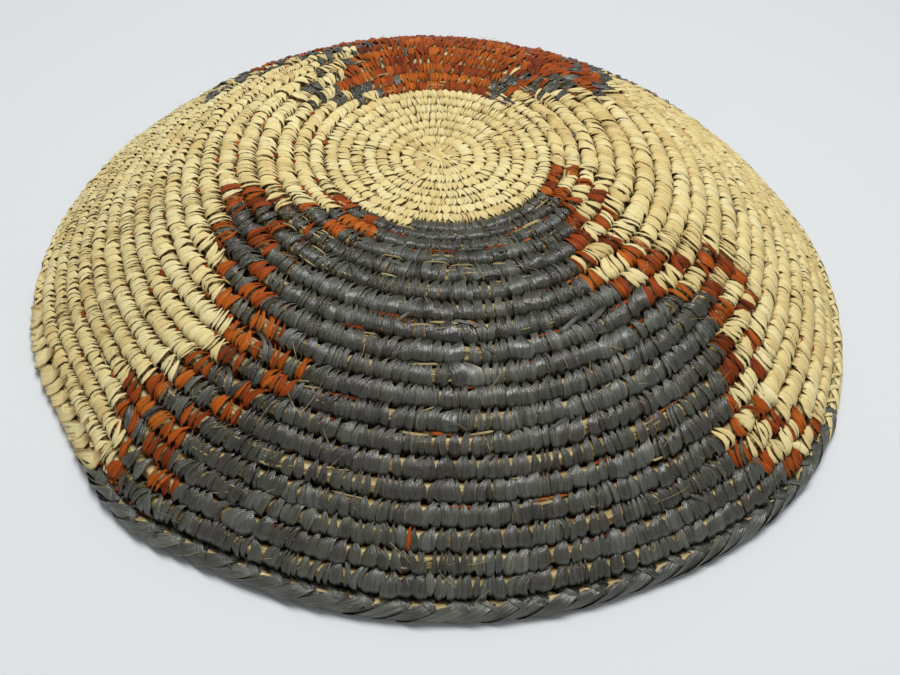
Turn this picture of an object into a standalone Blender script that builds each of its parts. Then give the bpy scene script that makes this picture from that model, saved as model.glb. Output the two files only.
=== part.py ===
"""Coiled basket bowl, upside down on its rim, as separate pieces.

A grass bundle is wound in one spiral from a knot in the middle of the base to the rim.
Palm strips in three colours are sewn round it, row to row, and a bound rim closes the edge.
Metres, +Z up, the rim stands on Z = 0, the middle of the rim is on the Z axis.
"""
import math

import bmesh
import bpy
from mathutils import Vector

# Spacing of the rows, measured along the bowl's section
BASE_ROW = 0.0062
WALL_ROW = 0.0094

# Thickness of the rows from crest to crest, through the bowl's wall
BASE_THICKNESS = 0.0060
WALL_THICKNESS = 0.0084

# Layer of palm strips over the grass bundle, and the bundle's play in it
STRIP_LAYER = 0.0009
BUNDLE_PLAY = 0.0005

# Air between two pieces that touch on the real bowl
GAP = 0.0003

# Height of the start knot over the middle of its rows
KNOT_CROWN = 0.0034

# Rim: across its flats, and the sewn layer over its bundle
RIM_WIDTH = 0.0100
RIM_LAYER = 0.0012
RIM_SPLICE = 0.0010

# The middle of the base lies this far to one side of the middle of the rim
BASE_OFFSET = 0.0035

# Counts of rows: where the knot ends, where the wall begins, where the spiral tapers
KNOT_TURNS = 2.5
WALL_TURN = 9
WAIST_TURN = 19
TAPER_TURN = 27
LOOP_STEPS = 24
BUNDLE_TAPER_STEPS = 10
TAPER_STEPS = 21

# The rows widen from the base's spacing to the wall's over these turns
WIDEN_TURN = 9
WIDEN_TURNS = 4

# Slopes of the section in degrees below level, and the turns over which it bends
DISH_SLOPE = -4.0
DISH_TURNS = 4
WALL_SLOPE = 16.4
RIM_SLOPE = 30.5
BEND_TURN = 10.3
BEND_TURNS = 8.2
SLOPE_END_TURN = 28.5

# Thickness in the furrow between two rows, as a share of the row's thickness
FURROW_SHARE = 0.58

# Half a row, and the part of a turn over which a direction along the section is read
HALF_ROW = 0.5
PROBE_TURNS = 0.1

# Sides of the coloured fields as corners of (turn, degrees from the near side)
DARK_LEFT = ((8.5, -50), (10.7, -45), (14.7, -71), (19, -37), (24.5, -52), (28.5, -43))
DARK_RIGHT = ((8.5, 75), (10.7, 81), (14.6, 52), (19.5, 72), (24.5, 50), (28.5, 57))
RUST_RIGHT = ((9, 145), (10.5, 139), (14.7, 123), (19, 142), (24.5, 127), (28.5, 138))
RUST_LEFT = ((9, 210), (11.9, 240), (15.5, 214), (20, 242), (24.5, 218), (28.5, 232))

# Ends of the rim's lengths in loop steps from the near side
RIM_LENGTHS = (
    ("rim_braid_dark_front", -3, 4, "dark"),
    ("rim_braid_natural_right", 4, 9, "natural"),
    ("rim_braid_rust_back", 9, 15, "rust"),
    ("rim_braid_natural_left", 15, 21, "natural"),
)

# Colour, roughness and metallic value of each finish
FINISHES = {
    "natural": ((0.72, 0.60, 0.36), 0.62),
    "dark": ((0.060, 0.064, 0.066), 0.48),
    "rust": ((0.42, 0.11, 0.035), 0.55),
    "grass": ((0.66, 0.55, 0.27), 0.80),
}

SUB_STEPS = 4
SHARP_ANGLE = math.radians(50)


def clear_scene():
    for item in list(bpy.data.objects):
        bpy.data.objects.remove(item, do_unlink=True)


def clamp(value):
    return min(max(value, 0.0), 1.0)


def row_spacing(turn):
    """Distance from this row to the next along the section."""
    widened = clamp((turn - WIDEN_TURN) / WIDEN_TURNS)
    return BASE_ROW + (WALL_ROW - BASE_ROW) * widened


def row_thickness(turn):
    """Thickness of a row from its outer to its inner crest."""
    widened = clamp((turn - WIDEN_TURN) / WIDEN_TURNS)
    return BASE_THICKNESS + (WALL_THICKNESS - BASE_THICKNESS) * widened


def slope(turn):
    """Angle of the section below level, in radians."""
    bend = clamp((turn - BEND_TURN) / BEND_TURNS)
    bend = bend * bend * (3 - 2 * bend)
    further = clamp((turn - BEND_TURN) / (SLOPE_END_TURN - BEND_TURN))
    dish = DISH_SLOPE * (1 - bend) * clamp(turn / DISH_TURNS)
    return math.radians(dish + WALL_SLOPE * bend + RIM_SLOPE * further)


def section_points():
    """Radius and drop of the section's middle line, one point for each part of a loop step."""
    parts = LOOP_STEPS * SUB_STEPS
    radius = 0.0
    drop = 0.0
    points = [(radius, drop)]
    for index in range(int(SLOPE_END_TURN * parts)):
        turn = (index + 0.5) / parts
        length = row_spacing(turn) / parts
        radius += length * math.cos(slope(turn))
        drop += length * math.sin(slope(turn))
        points.append((radius, drop))
    return points


SECTION = section_points()


def section(turn):
    """Radius and drop at any turn, read between the section's points."""
    place = turn * LOOP_STEPS * SUB_STEPS
    low = min(int(place), len(SECTION) - 2)
    share = place - low
    (r0, d0), (r1, d1) = SECTION[low], SECTION[low + 1]
    return r0 + (r1 - r0) * share, d0 + (d1 - d0) * share


RIM_TURN = TAPER_TURN + HALF_ROW
RIM_HALF = RIM_WIDTH / 2


def rim_centre():
    """Radius and drop of the rim bundle, just past the last row."""
    radius, drop = section(RIM_TURN)
    reach = RIM_HALF + GAP
    return radius + reach * math.cos(slope(RIM_TURN)), drop + reach * math.sin(slope(RIM_TURN))


RIM_RADIUS, RIM_DROP = rim_centre()
CROWN_HEIGHT = RIM_DROP + RIM_HALF


def place(turn, step, lift):
    """A point over the section's middle line, in the direction of a loop step."""
    radius, drop = section(turn)
    radius += lift * math.sin(slope(turn))
    height = CROWN_HEIGHT - drop + lift * math.cos(slope(turn))
    return at_radius(radius, height, step)


def at_radius(radius, height, step):
    """The point at a radius and height, moved with the base's sideways offset."""
    angle = 2 * math.pi * step / LOOP_STEPS
    offset = BASE_OFFSET * (1 - clamp(radius / RIM_RADIUS))
    return Vector((radius * math.sin(angle) - offset, -radius * math.cos(angle), height))


# Rows of the spiral: step 0 is the middle of the base, each loop step turns by 15 degrees

TAPER_STEP = TAPER_TURN * LOOP_STEPS
KNOT_STEP = round(KNOT_TURNS * LOOP_STEPS)
WALL_STEP = WALL_TURN * LOOP_STEPS
WAIST_STEP = WAIST_TURN * LOOP_STEPS
LAST_STEP = TAPER_STEP + TAPER_STEPS
BUNDLE_END_STEP = TAPER_STEP + BUNDLE_TAPER_STEPS


def width_share(step):
    """Full width up to the last turn, in which the row tapers out."""
    return 1 - max(step - TAPER_STEP, 0) / LOOP_STEPS


def outer_turn(step):
    """Turn of the furrow on a row's rim side."""
    return min(step / LOOP_STEPS + HALF_ROW, RIM_TURN)


def uphill(turn, step):
    """Direction along the section, away from the knot."""
    return (place(turn + PROBE_TURNS, step, 0.0) - place(turn - PROBE_TURNS, step, 0.0)).normalized()


def row_turn(step):
    """Turn of the row's middle. In the last turn its outer side stays level with the rim."""
    inner = step / LOOP_STEPS - HALF_ROW
    outer = outer_turn(step)
    return (inner + outer) / 2


def crest_lift(step):
    """Half the row's thickness, sinking to the furrow's as the row tapers out."""
    half = row_thickness(row_turn(step)) / 2
    furrow = half * FURROW_SHARE
    return furrow + (half - furrow) * width_share(step)


def furrow_point(step, side):
    """The furrow between a row and the next, outside (side 1) or inside (side -1) the bowl."""
    turn = outer_turn(step)
    return place(turn, step, side * row_thickness(turn) / 2 * FURROW_SHARE)


def crest_point(step, side):
    return place(row_turn(step), step, side * crest_lift(step))


def bore_sizes(step, play):
    """Half width and half height of the diamond that the bundle fills, less some play."""
    share = width_share(step)
    half_width = (row_spacing(row_turn(step)) / 2 - STRIP_LAYER) * share - play
    half_height = (row_thickness(row_turn(step)) / 2 - STRIP_LAYER) * share - play
    return half_width, half_height


def bore_point(step, corner, play=0.0):
    """Corners 0 to 3 of the diamond: outer face, rim side, inner face, knot side."""
    half_width, half_height = bore_sizes(step, play)
    turn = row_turn(step)
    if corner in (0, 2):
        return place(turn, step, half_height if corner == 0 else -half_height)
    return place(turn, step, 0.0) + uphill(turn, step) * (half_width if corner == 1 else -half_width)


# Sewn fields: ribbed solids made of cells, one cell for each loop step of a row


def toward(start, end, distance):
    return start + (end - start).normalized() * distance


class Field:
    """The closed surface round a set of cells, drawn back by half a gap on every side."""

    def __init__(self, cells):
        self.cells = set(cells)
        self.mesh = bmesh.new()
        self.points = {}

    def shift_along(self, before, after):
        """1 if only cells after the point are there, -1 if only cells before it, else 0."""
        count = sum(c in self.cells for c in after) - sum(c in self.cells for c in before)
        return (count > 0) - (count < 0)

    def vertex(self, kind, step, index):
        key = (kind, step, index)
        if key not in self.points:
            self.points[key] = self.mesh.verts.new(self.position(kind, step, index))
        return self.points[key]

    def position(self, kind, step, index):
        draw = {"furrow": furrow_point, "crest": crest_point, "bore": bore_point}[kind]
        point = draw(step, index)
        if kind == "furrow":
            inner_row = (step - 1, step)
            outer_row = (step - 1 + LOOP_STEPS, step + LOOP_STEPS)
            along = self.shift_along((inner_row[0], outer_row[0]), (inner_row[1], outer_row[1]))
            across = self.shift_along(inner_row, outer_row)
            if across:
                point = point + uphill(outer_turn(step), step) * (across * GAP / 2)
        else:
            along = self.shift_along((step - 1,), (step,))
        if along:
            point = point + (draw(step + along, index) - draw(step, index)).normalized() * (GAP / 2)
        return point

    def face(self, *keys):
        self.mesh.faces.new([self.vertex(*key) for key in keys])

    def cell_skin(self, a):
        b = a + 1
        inner_a, inner_b = a - LOOP_STEPS, b - LOOP_STEPS
        for side in (1, -1):
            self.face(("furrow", inner_a, side), ("crest", a, side),
                      ("crest", b, side), ("furrow", inner_b, side))
            self.face(("crest", a, side), ("furrow", a, side),
                      ("furrow", b, side), ("crest", b, side))
        if a - LOOP_STEPS not in self.cells:
            self.face(("furrow", inner_a, 1), ("furrow", inner_b, 1),
                      ("furrow", inner_b, -1), ("furrow", inner_a, -1))
        if a + LOOP_STEPS not in self.cells:
            self.face(("furrow", a, 1), ("furrow", b, 1), ("furrow", b, -1), ("furrow", a, -1))

    def cell_bore(self, a):
        for corner in range(4):
            following = (corner + 1) % 4
            self.face(("bore", a, corner), ("bore", a, following),
                      ("bore", a + 1, following), ("bore", a + 1, corner))

    def open_end(self, s):
        """The end of a row round its bore."""
        inner = s - LOOP_STEPS
        self.face(("crest", s, 1), ("furrow", s, 1), ("bore", s, 1), ("bore", s, 0))
        self.face(("furrow", s, 1), ("furrow", s, -1), ("bore", s, 1))
        self.face(("furrow", s, -1), ("crest", s, -1), ("bore", s, 2), ("bore", s, 1))
        self.face(("crest", s, -1), ("furrow", inner, -1), ("bore", s, 3), ("bore", s, 2))
        self.face(("furrow", inner, -1), ("furrow", inner, 1), ("bore", s, 3))
        self.face(("furrow", inner, 1), ("crest", s, 1), ("bore", s, 0), ("bore", s, 3))

    def solid_end(self, s):
        """The end of a row that has no bore left."""
        inner = s - LOOP_STEPS
        self.face(("crest", s, 1), ("furrow", s, 1), ("furrow", s, -1), ("crest", s, -1))
        self.face(("crest", s, -1), ("furrow", inner, -1), ("furrow", inner, 1), ("crest", s, 1))

    def end(self, s, bored):
        if bored:
            self.open_end(s)
        else:
            self.solid_end(s)

    def build(self):
        for a in sorted(self.cells):
            bored = a < BUNDLE_END_STEP
            self.cell_skin(a)
            if bored:
                self.cell_bore(a)
            if a - 1 not in self.cells:
                self.end(a, bored)
            if a + 1 not in self.cells:
                self.end(a + 1, bored)
            elif a + 1 == BUNDLE_END_STEP:
                self.face(*[("bore", a + 1, corner) for corner in range(4)])
        return self.mesh


def side_at(corners, turn):
    """Degrees of a field's side at a turn, read between its corners."""
    for (t0, a0), (t1, a1) in zip(corners, corners[1:]):
        if turn <= t1:
            return a0 + (a1 - a0) * clamp((turn - t0) / (t1 - t0))
    return corners[-1][1]


def colour_of(step):
    """Which field the cell after a step belongs to."""
    turn = row_turn(step + 0.5)
    degrees = (step + 0.5) * 360 / LOOP_STEPS
    left, right = side_at(DARK_LEFT, turn), side_at(DARK_RIGHT, turn)
    if (degrees - left) % 360 < right - left:
        return "dark_front"
    if side_at(RUST_RIGHT, turn) < degrees % 360 < side_at(RUST_LEFT, turn):
        return "rust_back"
    return "natural_right" if degrees % 360 < 180 else "natural_left"


def finish_material(name, finish):
    colour, roughness = FINISHES[finish]
    material = bpy.data.materials.new(name)
    material.use_nodes = True
    shader = material.node_tree.nodes["Principled BSDF"]
    shader.inputs["Base Color"].default_value = (*colour, 1.0)
    shader.inputs["Roughness"].default_value = roughness
    shader.inputs["Metallic"].default_value = 0.0
    return material


def add_piece(name, mesh, finish):
    """Turn a bmesh into a named object with smooth ribs and a material of its own."""
    bmesh.ops.recalc_face_normals(mesh, faces=mesh.faces)
    data = bpy.data.meshes.new(name)
    mesh.to_mesh(data)
    mesh.free()
    data.shade_smooth()
    data.set_sharp_from_angle(angle=SHARP_ANGLE)
    data.materials.append(finish_material(name, finish))
    piece = bpy.data.objects.new(name, data)
    bpy.context.scene.collection.objects.link(piece)
    return piece


def add_tube(name, rings, finish):
    """One unbroken tube through rings of points, closed at both ends."""
    mesh = bmesh.new()
    loops = [[mesh.verts.new(point) for point in ring] for ring in rings]
    for first, second in zip(loops, loops[1:]):
        for index in range(len(first)):
            following = (index + 1) % len(first)
            mesh.faces.new((first[index], first[following], second[following], second[index]))
    mesh.faces.new(loops[0])
    mesh.faces.new(loops[-1])
    return add_piece(name, mesh, finish)


def bundle_rings(first, last):
    """Diamond rings of a grass bundle, its ends drawn back by half a gap."""
    rings = [[bore_point(step, corner, BUNDLE_PLAY) for corner in range(4)]
             for step in range(first, last + 1)]
    rings[0] = [toward(a, b, GAP / 2) for a, b in zip(rings[0], rings[1])]
    rings[-1] = [toward(a, b, GAP / 2) for a, b in zip(rings[-1], rings[-2])]
    return rings


def print_least_gap(name, rings):
    """Least distance from a point of one loop to the points facing it on the next."""
    least = min((rings[i + LOOP_STEPS][3] - rings[i][1]).length
                for i in range(len(rings) - LOOP_STEPS))
    print(f"{name}: {len(rings) / LOOP_STEPS:.1f} loops, least gap to itself {least * 1000:.2f} mm")


def build_bundles():
    for name, first, last in (("base_coil", KNOT_STEP, WALL_STEP),
                              ("wall_coil", WALL_STEP, BUNDLE_END_STEP)):
        rings = bundle_rings(first, last)
        add_tube(name, rings, "grass")
        print_least_gap(name, rings)


def build_fields():
    add_piece("natural_base_stitches", Field(range(KNOT_STEP, WALL_STEP)).build(), "natural")
    groups = {}
    for step in range(WALL_STEP, LAST_STEP):
        level = "upper" if step < WAIST_STEP else "lower"
        groups.setdefault(f"{colour_of(step)}_{level}", []).append(step)
    for name in sorted(groups):
        add_piece(name, Field(groups[name]).build(), name.split("_")[0])
        print(f"{name}: {len(groups[name])} cells")


def build_knot():
    """The knot fills the middle, out to the spiral's first row."""
    mesh = bmesh.new()
    rims = {}
    for side in (1, -1):
        rims[side] = []
        for step in range(KNOT_STEP - LOOP_STEPS, KNOT_STEP + 1):
            point = furrow_point(step, side)
            centre = place(0.0, step, point.z - place(0.0, step, 0.0).z)
            rims[side].append(toward(point, centre, GAP))
        end = rims[side][-1]
        rims[side][0] = toward(rims[side][0], rims[side][1], GAP / 2)
        rims[side][-1] = toward(end, rims[side][-2], GAP / 2)
    loops = {side: [mesh.verts.new(point) for point in rims[side]] for side in rims}
    for side in (1, -1):
        crown = mesh.verts.new(place(0.0, 0, side * KNOT_CROWN))
        for first, second in zip(loops[side], loops[side][1:] + loops[side][:1]):
            mesh.faces.new((crown, first, second))
    for index in range(len(loops[1])):
        following = (index + 1) % len(loops[1])
        mesh.faces.new((loops[1][index], loops[1][following],
                        loops[-1][following], loops[-1][index]))
    add_piece("start_knot", mesh, "natural")


# Rim: an eight sided ring with a flat underside, on the same loop steps as the rows

RIM_SIDES = 8


def rim_ring(step, half, back=0.0):
    """Eight corners round the rim's middle, with flats at the bottom and the top."""
    corner_radius = half / math.cos(math.pi / RIM_SIDES)
    ring = []
    for side in range(RIM_SIDES):
        angle = 2 * math.pi * (side + 0.5) / RIM_SIDES
        radius = RIM_RADIUS + corner_radius * math.sin(angle)
        height = RIM_HALF - corner_radius * math.cos(angle)
        point = rim_point(radius, height, step)
        if back:
            beyond = rim_point(radius, height, step + (1 if back > 0 else -1))
            point = toward(point, beyond, abs(back))
        ring.append(point)
    return ring


def rim_point(radius, height, step):
    angle = 2 * math.pi * step / LOOP_STEPS
    return Vector((radius * math.sin(angle), -radius * math.cos(angle), height))


def drawn_back(rings, half, first, last, distance):
    """Rings with the first and the last moved toward their neighbours."""
    rings[0] = rim_ring(first, half, distance)
    rings[-1] = rim_ring(last, half, -distance)
    return rings


def add_rim_length(name, first, last, finish):
    """A length of the rim's binding: a tube round a bore."""
    mesh = bmesh.new()
    walls = []
    for half in (RIM_HALF, RIM_HALF - RIM_LAYER):
        rings = [rim_ring(step, half) for step in range(first, last + 1)]
        rings = drawn_back(rings, half, first, last, GAP / 2)
        loops = [[mesh.verts.new(point) for point in ring] for ring in rings]
        walls.append(loops)
        for one, two in zip(loops, loops[1:]):
            for index in range(RIM_SIDES):
                following = (index + 1) % RIM_SIDES
                mesh.faces.new((one[index], one[following], two[following], two[index]))
    outer, bore = walls
    for end in (0, -1):
        for index in range(RIM_SIDES):
            following = (index + 1) % RIM_SIDES
            mesh.faces.new((outer[end][index], outer[end][following],
                            bore[end][following], bore[end][index]))
    add_piece(name, mesh, finish)


def build_rim():
    for name, first, last, finish in RIM_LENGTHS:
        add_rim_length(name, first, last, finish)
    half = RIM_HALF - RIM_LAYER - BUNDLE_PLAY
    start = RIM_LENGTHS[1][2]
    rings = [rim_ring(step, half) for step in range(start, start + LOOP_STEPS + 1)]
    rings = drawn_back(rings, half, start, start + LOOP_STEPS, RIM_SPLICE / 2)
    add_tube("rim_coil", rings, "grass")


def main():
    clear_scene()
    build_knot()
    build_bundles()
    build_fields()
    build_rim()
    print(f"rim radius {RIM_RADIUS + RIM_HALF:.4f} m, height of the base's middle {CROWN_HEIGHT:.4f} m")


main()
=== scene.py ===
# %% [markdown]
# A coiled basket bowl, standing base up on its rim.
# On the real bowl a bundle of grass stems is wound in one spiral from a knot to the rim, and thousands of
# short palm strips are sewn round it. The frame holds that spiral as plain ribbed solids. This lesson puts
# the real strips on them: each stitch is modelled, because light and shadow between stitches make the look.
# The first cell loads the frame and keeps its box, so that no strip stands much higher than the frame.

# %% Load the frame
import math

import bpy
import numpy as np
from mathutils import Matrix, Vector


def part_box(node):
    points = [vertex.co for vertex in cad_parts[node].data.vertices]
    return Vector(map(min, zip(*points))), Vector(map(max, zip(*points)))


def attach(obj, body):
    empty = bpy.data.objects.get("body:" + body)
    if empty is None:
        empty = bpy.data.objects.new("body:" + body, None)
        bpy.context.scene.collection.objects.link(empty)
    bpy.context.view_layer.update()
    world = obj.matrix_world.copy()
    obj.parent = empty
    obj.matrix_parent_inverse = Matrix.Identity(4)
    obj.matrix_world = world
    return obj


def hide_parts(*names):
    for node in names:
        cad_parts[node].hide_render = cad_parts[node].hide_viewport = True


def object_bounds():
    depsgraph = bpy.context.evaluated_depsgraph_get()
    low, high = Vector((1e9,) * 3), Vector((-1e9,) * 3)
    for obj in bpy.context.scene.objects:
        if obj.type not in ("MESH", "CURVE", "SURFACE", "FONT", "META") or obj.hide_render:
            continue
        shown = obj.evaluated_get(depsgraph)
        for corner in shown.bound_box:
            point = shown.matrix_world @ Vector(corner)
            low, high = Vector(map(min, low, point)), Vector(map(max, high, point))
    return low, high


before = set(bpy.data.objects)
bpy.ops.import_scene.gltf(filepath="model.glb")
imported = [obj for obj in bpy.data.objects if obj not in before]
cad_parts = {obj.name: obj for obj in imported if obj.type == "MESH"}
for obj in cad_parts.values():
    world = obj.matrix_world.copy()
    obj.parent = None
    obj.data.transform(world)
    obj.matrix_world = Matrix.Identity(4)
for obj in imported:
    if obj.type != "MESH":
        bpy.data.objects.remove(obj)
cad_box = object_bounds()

print("frame box in metres:", [[round(v, 4) for v in corner] for corner in cad_box])

# %% [markdown]
# The camera stands in front of the dark field and looks down on it at 46 degrees.
# A camera can be aimed by a Track To constraint, but then its tilt to the side is lost.
# Writing its three directions into a matrix keeps the small roll that the picture has.

# %% Camera
CAMERA_PLACE = Vector((-0.0041, -0.4227, 0.3873))
CAMERA_YAW = math.radians(1.49)
CAMERA_PITCH = math.radians(45.93)
CAMERA_ROLL = math.radians(3.44)
CAMERA_LENS = 42.33
SENSOR_WIDTH = 36.0


def add_camera():
    """The camera of the picture, with its small roll."""
    forward = Vector((math.sin(CAMERA_YAW) * math.cos(CAMERA_PITCH),
                      math.cos(CAMERA_YAW) * math.cos(CAMERA_PITCH), -math.sin(CAMERA_PITCH)))
    level = Vector((math.cos(CAMERA_YAW), -math.sin(CAMERA_YAW), 0.0))
    upright = level.cross(forward)
    right = level * math.cos(CAMERA_ROLL) + upright * math.sin(CAMERA_ROLL)
    up = upright * math.cos(CAMERA_ROLL) - level * math.sin(CAMERA_ROLL)
    data = bpy.data.cameras.new("camera")
    data.lens = CAMERA_LENS
    data.sensor_width = SENSOR_WIDTH
    data.sensor_fit = "HORIZONTAL"
    data.clip_start = 0.01
    camera = bpy.data.objects.new("camera", data)
    turn = Matrix((right, up, -forward)).transposed().to_4x4()
    camera.matrix_world = Matrix.Translation(CAMERA_PLACE) @ turn
    bpy.context.scene.collection.objects.link(camera)
    bpy.context.scene.camera = camera
    return camera


camera = add_camera()
print("camera is", round((CAMERA_PLACE - Vector((0, 0, 0.07))).length, 3), "m from the base")

# %% [markdown]
# The stitches need the bowl's section: how far the rows lie apart, how steep the wall is at each row.
# It could be read back from the frame's mesh, but a formula gives a smooth surface at every point.
# A row's place is its turn, counted from the knot.

# %% Section of the bowl
BASE_ROW, WALL_ROW = 0.0062, 0.0094
BASE_THICKNESS, WALL_THICKNESS = 0.0060, 0.0084
WIDEN_TURN, WIDEN_TURNS = 9.0, 4.0
DISH_SLOPE, DISH_TURNS = -4.0, 4.0
WALL_SLOPE, RIM_SLOPE = 16.4, 30.5
BEND_TURN, BEND_TURNS, SLOPE_END_TURN = 10.3, 8.2, 28.5
SECTION_STEPS = 4000


def smooth(share):
    """From 0 to 1, with a soft start and a soft end."""
    share = np.clip(share, 0, 1)
    return share * share * (3 - 2 * share)


def grown(turn, start, turns):
    """0 up to a turn, 1 from some turns later on, and straight between."""
    return np.clip((turn - start) / turns, 0, 1)


def slope_at(turn):
    """Angle of the wall below level, in radians."""
    bend = smooth(grown(turn, BEND_TURN, BEND_TURNS))
    further = grown(turn, BEND_TURN, SLOPE_END_TURN - BEND_TURN)
    dish = DISH_SLOPE * (1 - bend) * grown(turn, 0, DISH_TURNS)
    return np.radians(dish + WALL_SLOPE * bend + RIM_SLOPE * further)


def widened(turn):
    """How far the rows have grown from the base's size, 0, to the wall's, 1."""
    return grown(turn, WIDEN_TURN, WIDEN_TURNS)


def row_width(turn):
    return BASE_ROW + (WALL_ROW - BASE_ROW) * widened(turn)


def half_thickness(turn):
    return (BASE_THICKNESS + (WALL_THICKNESS - BASE_THICKNESS) * widened(turn)) / 2


SECTION_TURNS = np.linspace(0, SLOPE_END_TURN, SECTION_STEPS)
step_lengths = row_width(SECTION_TURNS) * SLOPE_END_TURN / (SECTION_STEPS - 1)
SECTION_RADII = np.cumsum(step_lengths * np.cos(slope_at(SECTION_TURNS)))
SECTION_DROPS = np.cumsum(step_lengths * np.sin(slope_at(SECTION_TURNS)))


def radius_at(turn):
    return np.interp(turn, SECTION_TURNS, SECTION_RADII)


def drop_at(turn):
    return np.interp(turn, SECTION_TURNS, SECTION_DROPS)


print(f"the spiral reaches a radius of {SECTION_RADII[-1]:.4f} m and drops {SECTION_DROPS[-1]:.4f} m")

# %% [markdown]
# A place on the bowl is a turn, an angle in degrees from the near side, and a height above the middle of
# the wall. The real rim isn't a true circle: it swells out a few millimetres in some places and is drawn in
# at others, and the wall sags a little at the back. A finished mesh could be pushed there point by point,
# but one function for every place moves strips, grass and rim together.

# %% Places on the bowl
BASE_OFFSET = 0.0035
RIM_TURN = 27.5
RIM_HALF = 0.0050
RIM_GAP = 0.0003
# middle and reach in degrees, height in metres
SWELLS = ((51, 18, 0.0052), (112, 16, -0.0014), (303, 11, -0.0032), (322, 8, 0.0044))
SWELL_TURNS = 7.0
SAG, SAG_TURN, SAG_REACH = 0.0024, 20.0, 4.5

RIM_REACH = RIM_HALF + RIM_GAP
RIM_RADIUS = float(radius_at(RIM_TURN) + RIM_REACH * np.cos(slope_at(RIM_TURN)))
CROWN_HEIGHT = float(drop_at(RIM_TURN) + RIM_REACH * np.sin(slope_at(RIM_TURN))) + RIM_HALF


def swell_at(degrees):
    """How far the rim lies outside a true circle."""
    return sum(height * np.exp(-(((degrees - middle + 180) % 360 - 180) / reach) ** 2)
               for middle, reach, height in SWELLS)


def place(turn, degrees, lift):
    """Points over the middle of the wall, lifted along its outward normal."""
    angle = np.radians(degrees)
    share = smooth((turn - RIM_TURN) / SWELL_TURNS + 1)
    sag = SAG * np.exp(-((turn - SAG_TURN) / SAG_REACH) ** 2) * np.clip(-np.cos(angle), 0, 1)
    radius = radius_at(turn) + lift * np.sin(slope_at(turn)) + swell_at(degrees) * share
    height = CROWN_HEIGHT - drop_at(turn) + lift * np.cos(slope_at(turn)) - sag
    offset = BASE_OFFSET * (1 - np.clip(radius / RIM_RADIUS, 0, 1))
    return np.stack([radius * np.sin(angle) - offset, -radius * np.cos(angle), height], axis=-1)


knot_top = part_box("start_knot")[1].z
print(f"rim radius {RIM_RADIUS:.4f} m, base at {CROWN_HEIGHT:.4f} m, frame's knot top {knot_top:.4f} m")

# %% [markdown]
# The coloured fields have stepped sides, and each side has a border of a few stitches in other colours.
# An image could hold the pattern, but the sides are straight from corner to corner, so corners are enough:
# each line is a turn and the angles at which the colours of the border change.

# %% Pattern of the fields
COLOUR_TURN = 8.96
# degrees at which one side of a field ends and the next begins
LEFT_MIDDLE, FRONT_MIDDLE, RIGHT_MIDDLE, BACK_MIDDLE = -105, 5, 100, 180
FRONT_RIGHT = (
    (8.8, 61, 66, 70, 76), (10.5, 60, 68, 75, 81), (14.5, 33, 38, 44, 52),
    (19.5, 58, 62, 68, 72), (24.5, 39, 43, 47, 50), (27.5, 50, 53, 57, 59),
)
FRONT_RIGHT_COLOURS = ("dark", "rust", "natural", "rust", "natural")
FRONT_LEFT = (
    (9.4, -60, -47, -38, -33), (10.6, -46, -44, -37, -28), (14.6, -71, -65, -56, -50),
    (19.2, -37, -33, -28, -24), (24.3, -51, -47, -42, -38), (26.5, -43, -40, -37, -34),
    (27.5, -45, -41, -38, -35),
)
FRONT_LEFT_COLOURS = ("natural", "rust", "dark", "rust", "dark")
BACK_RIGHT = (
    (9.5, 144, 148, 152, 155), (10.7, 139, 144, 149, 154), (14.6, 123, 128, 133, 138),
    (19.3, 142, 146, 151, 155), (24.5, 127, 131, 136, 140), (27.5, 138, 142, 146, 150),
)
BACK_RIGHT_COLOURS = ("natural", "dark", "rust", "dark", "rust")
BACK_LEFT = (
    (9.5, 208, 214, 220, 226), (11.8, 225, 230, 235, 240), (15.5, 200, 205, 210, 215),
    (20.0, 228, 233, 237, 242), (24.5, 205, 210, 214, 218), (27.5, 219, 224, 228, 232),
)
BACK_LEFT_COLOURS = ("rust", "dark", "natural", "dark", "natural")
SIDES = (
    (LEFT_MIDDLE, FRONT_MIDDLE, FRONT_LEFT, FRONT_LEFT_COLOURS),
    (FRONT_MIDDLE, RIGHT_MIDDLE, FRONT_RIGHT, FRONT_RIGHT_COLOURS),
    (RIGHT_MIDDLE, BACK_MIDDLE, BACK_RIGHT, BACK_RIGHT_COLOURS),
    (BACK_MIDDLE, LEFT_MIDDLE + 360, BACK_LEFT, BACK_LEFT_COLOURS),
)


def from_left(degrees):
    """The same angle, counted from the middle of the left field."""
    return (degrees - LEFT_MIDDLE) % 360 + LEFT_MIDDLE


def colour_at(turn, degrees):
    """Colour of the palm at a place on the bowl."""
    degrees = from_left(degrees)
    if turn < COLOUR_TURN:
        return "natural"
    for first, last, corners, colours in SIDES:
        if first <= degrees < last:
            turns, *lines = zip(*corners)
            edges = [np.interp(turn, turns, line) for line in lines]
            return colours[sum(degrees > edge for edge in edges)]
    return "natural"


print("colour at turn 20, near side:", colour_at(20, 0), "and far side:", colour_at(20, 180))

# %% [markdown]
# Every strip of palm here is a thin closed ribbon, a few stations long, with a raised middle because a dry
# leaf curls. A curve with a bevel could give ribbons too, but thousands of curve objects are slow.
# Arrays hold all the strips of a piece at once, so one mesh with thousands of strips takes a moment.
# Each strip also carries its own numbers for the material: how far along it a point is, how far across,
# and two random tints. No strip may reach the floor or stand much higher than the frame.

# %% Ribbons in one mesh
RIBBON_SHAPE = ((-1.0, 0.0), (0.0, 1.0), (1.0, 0.0))
UV_MARGIN = 0.06
LOWEST = 0.0002
PROUD_SHARE = 1.028
HIGHEST = PROUD_SHARE * cad_box[1][2]
SHORTEST = 1e-12


def unit(vectors):
    return vectors / np.maximum(np.linalg.norm(vectors, axis=-1, keepdims=True), SHORTEST)


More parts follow.
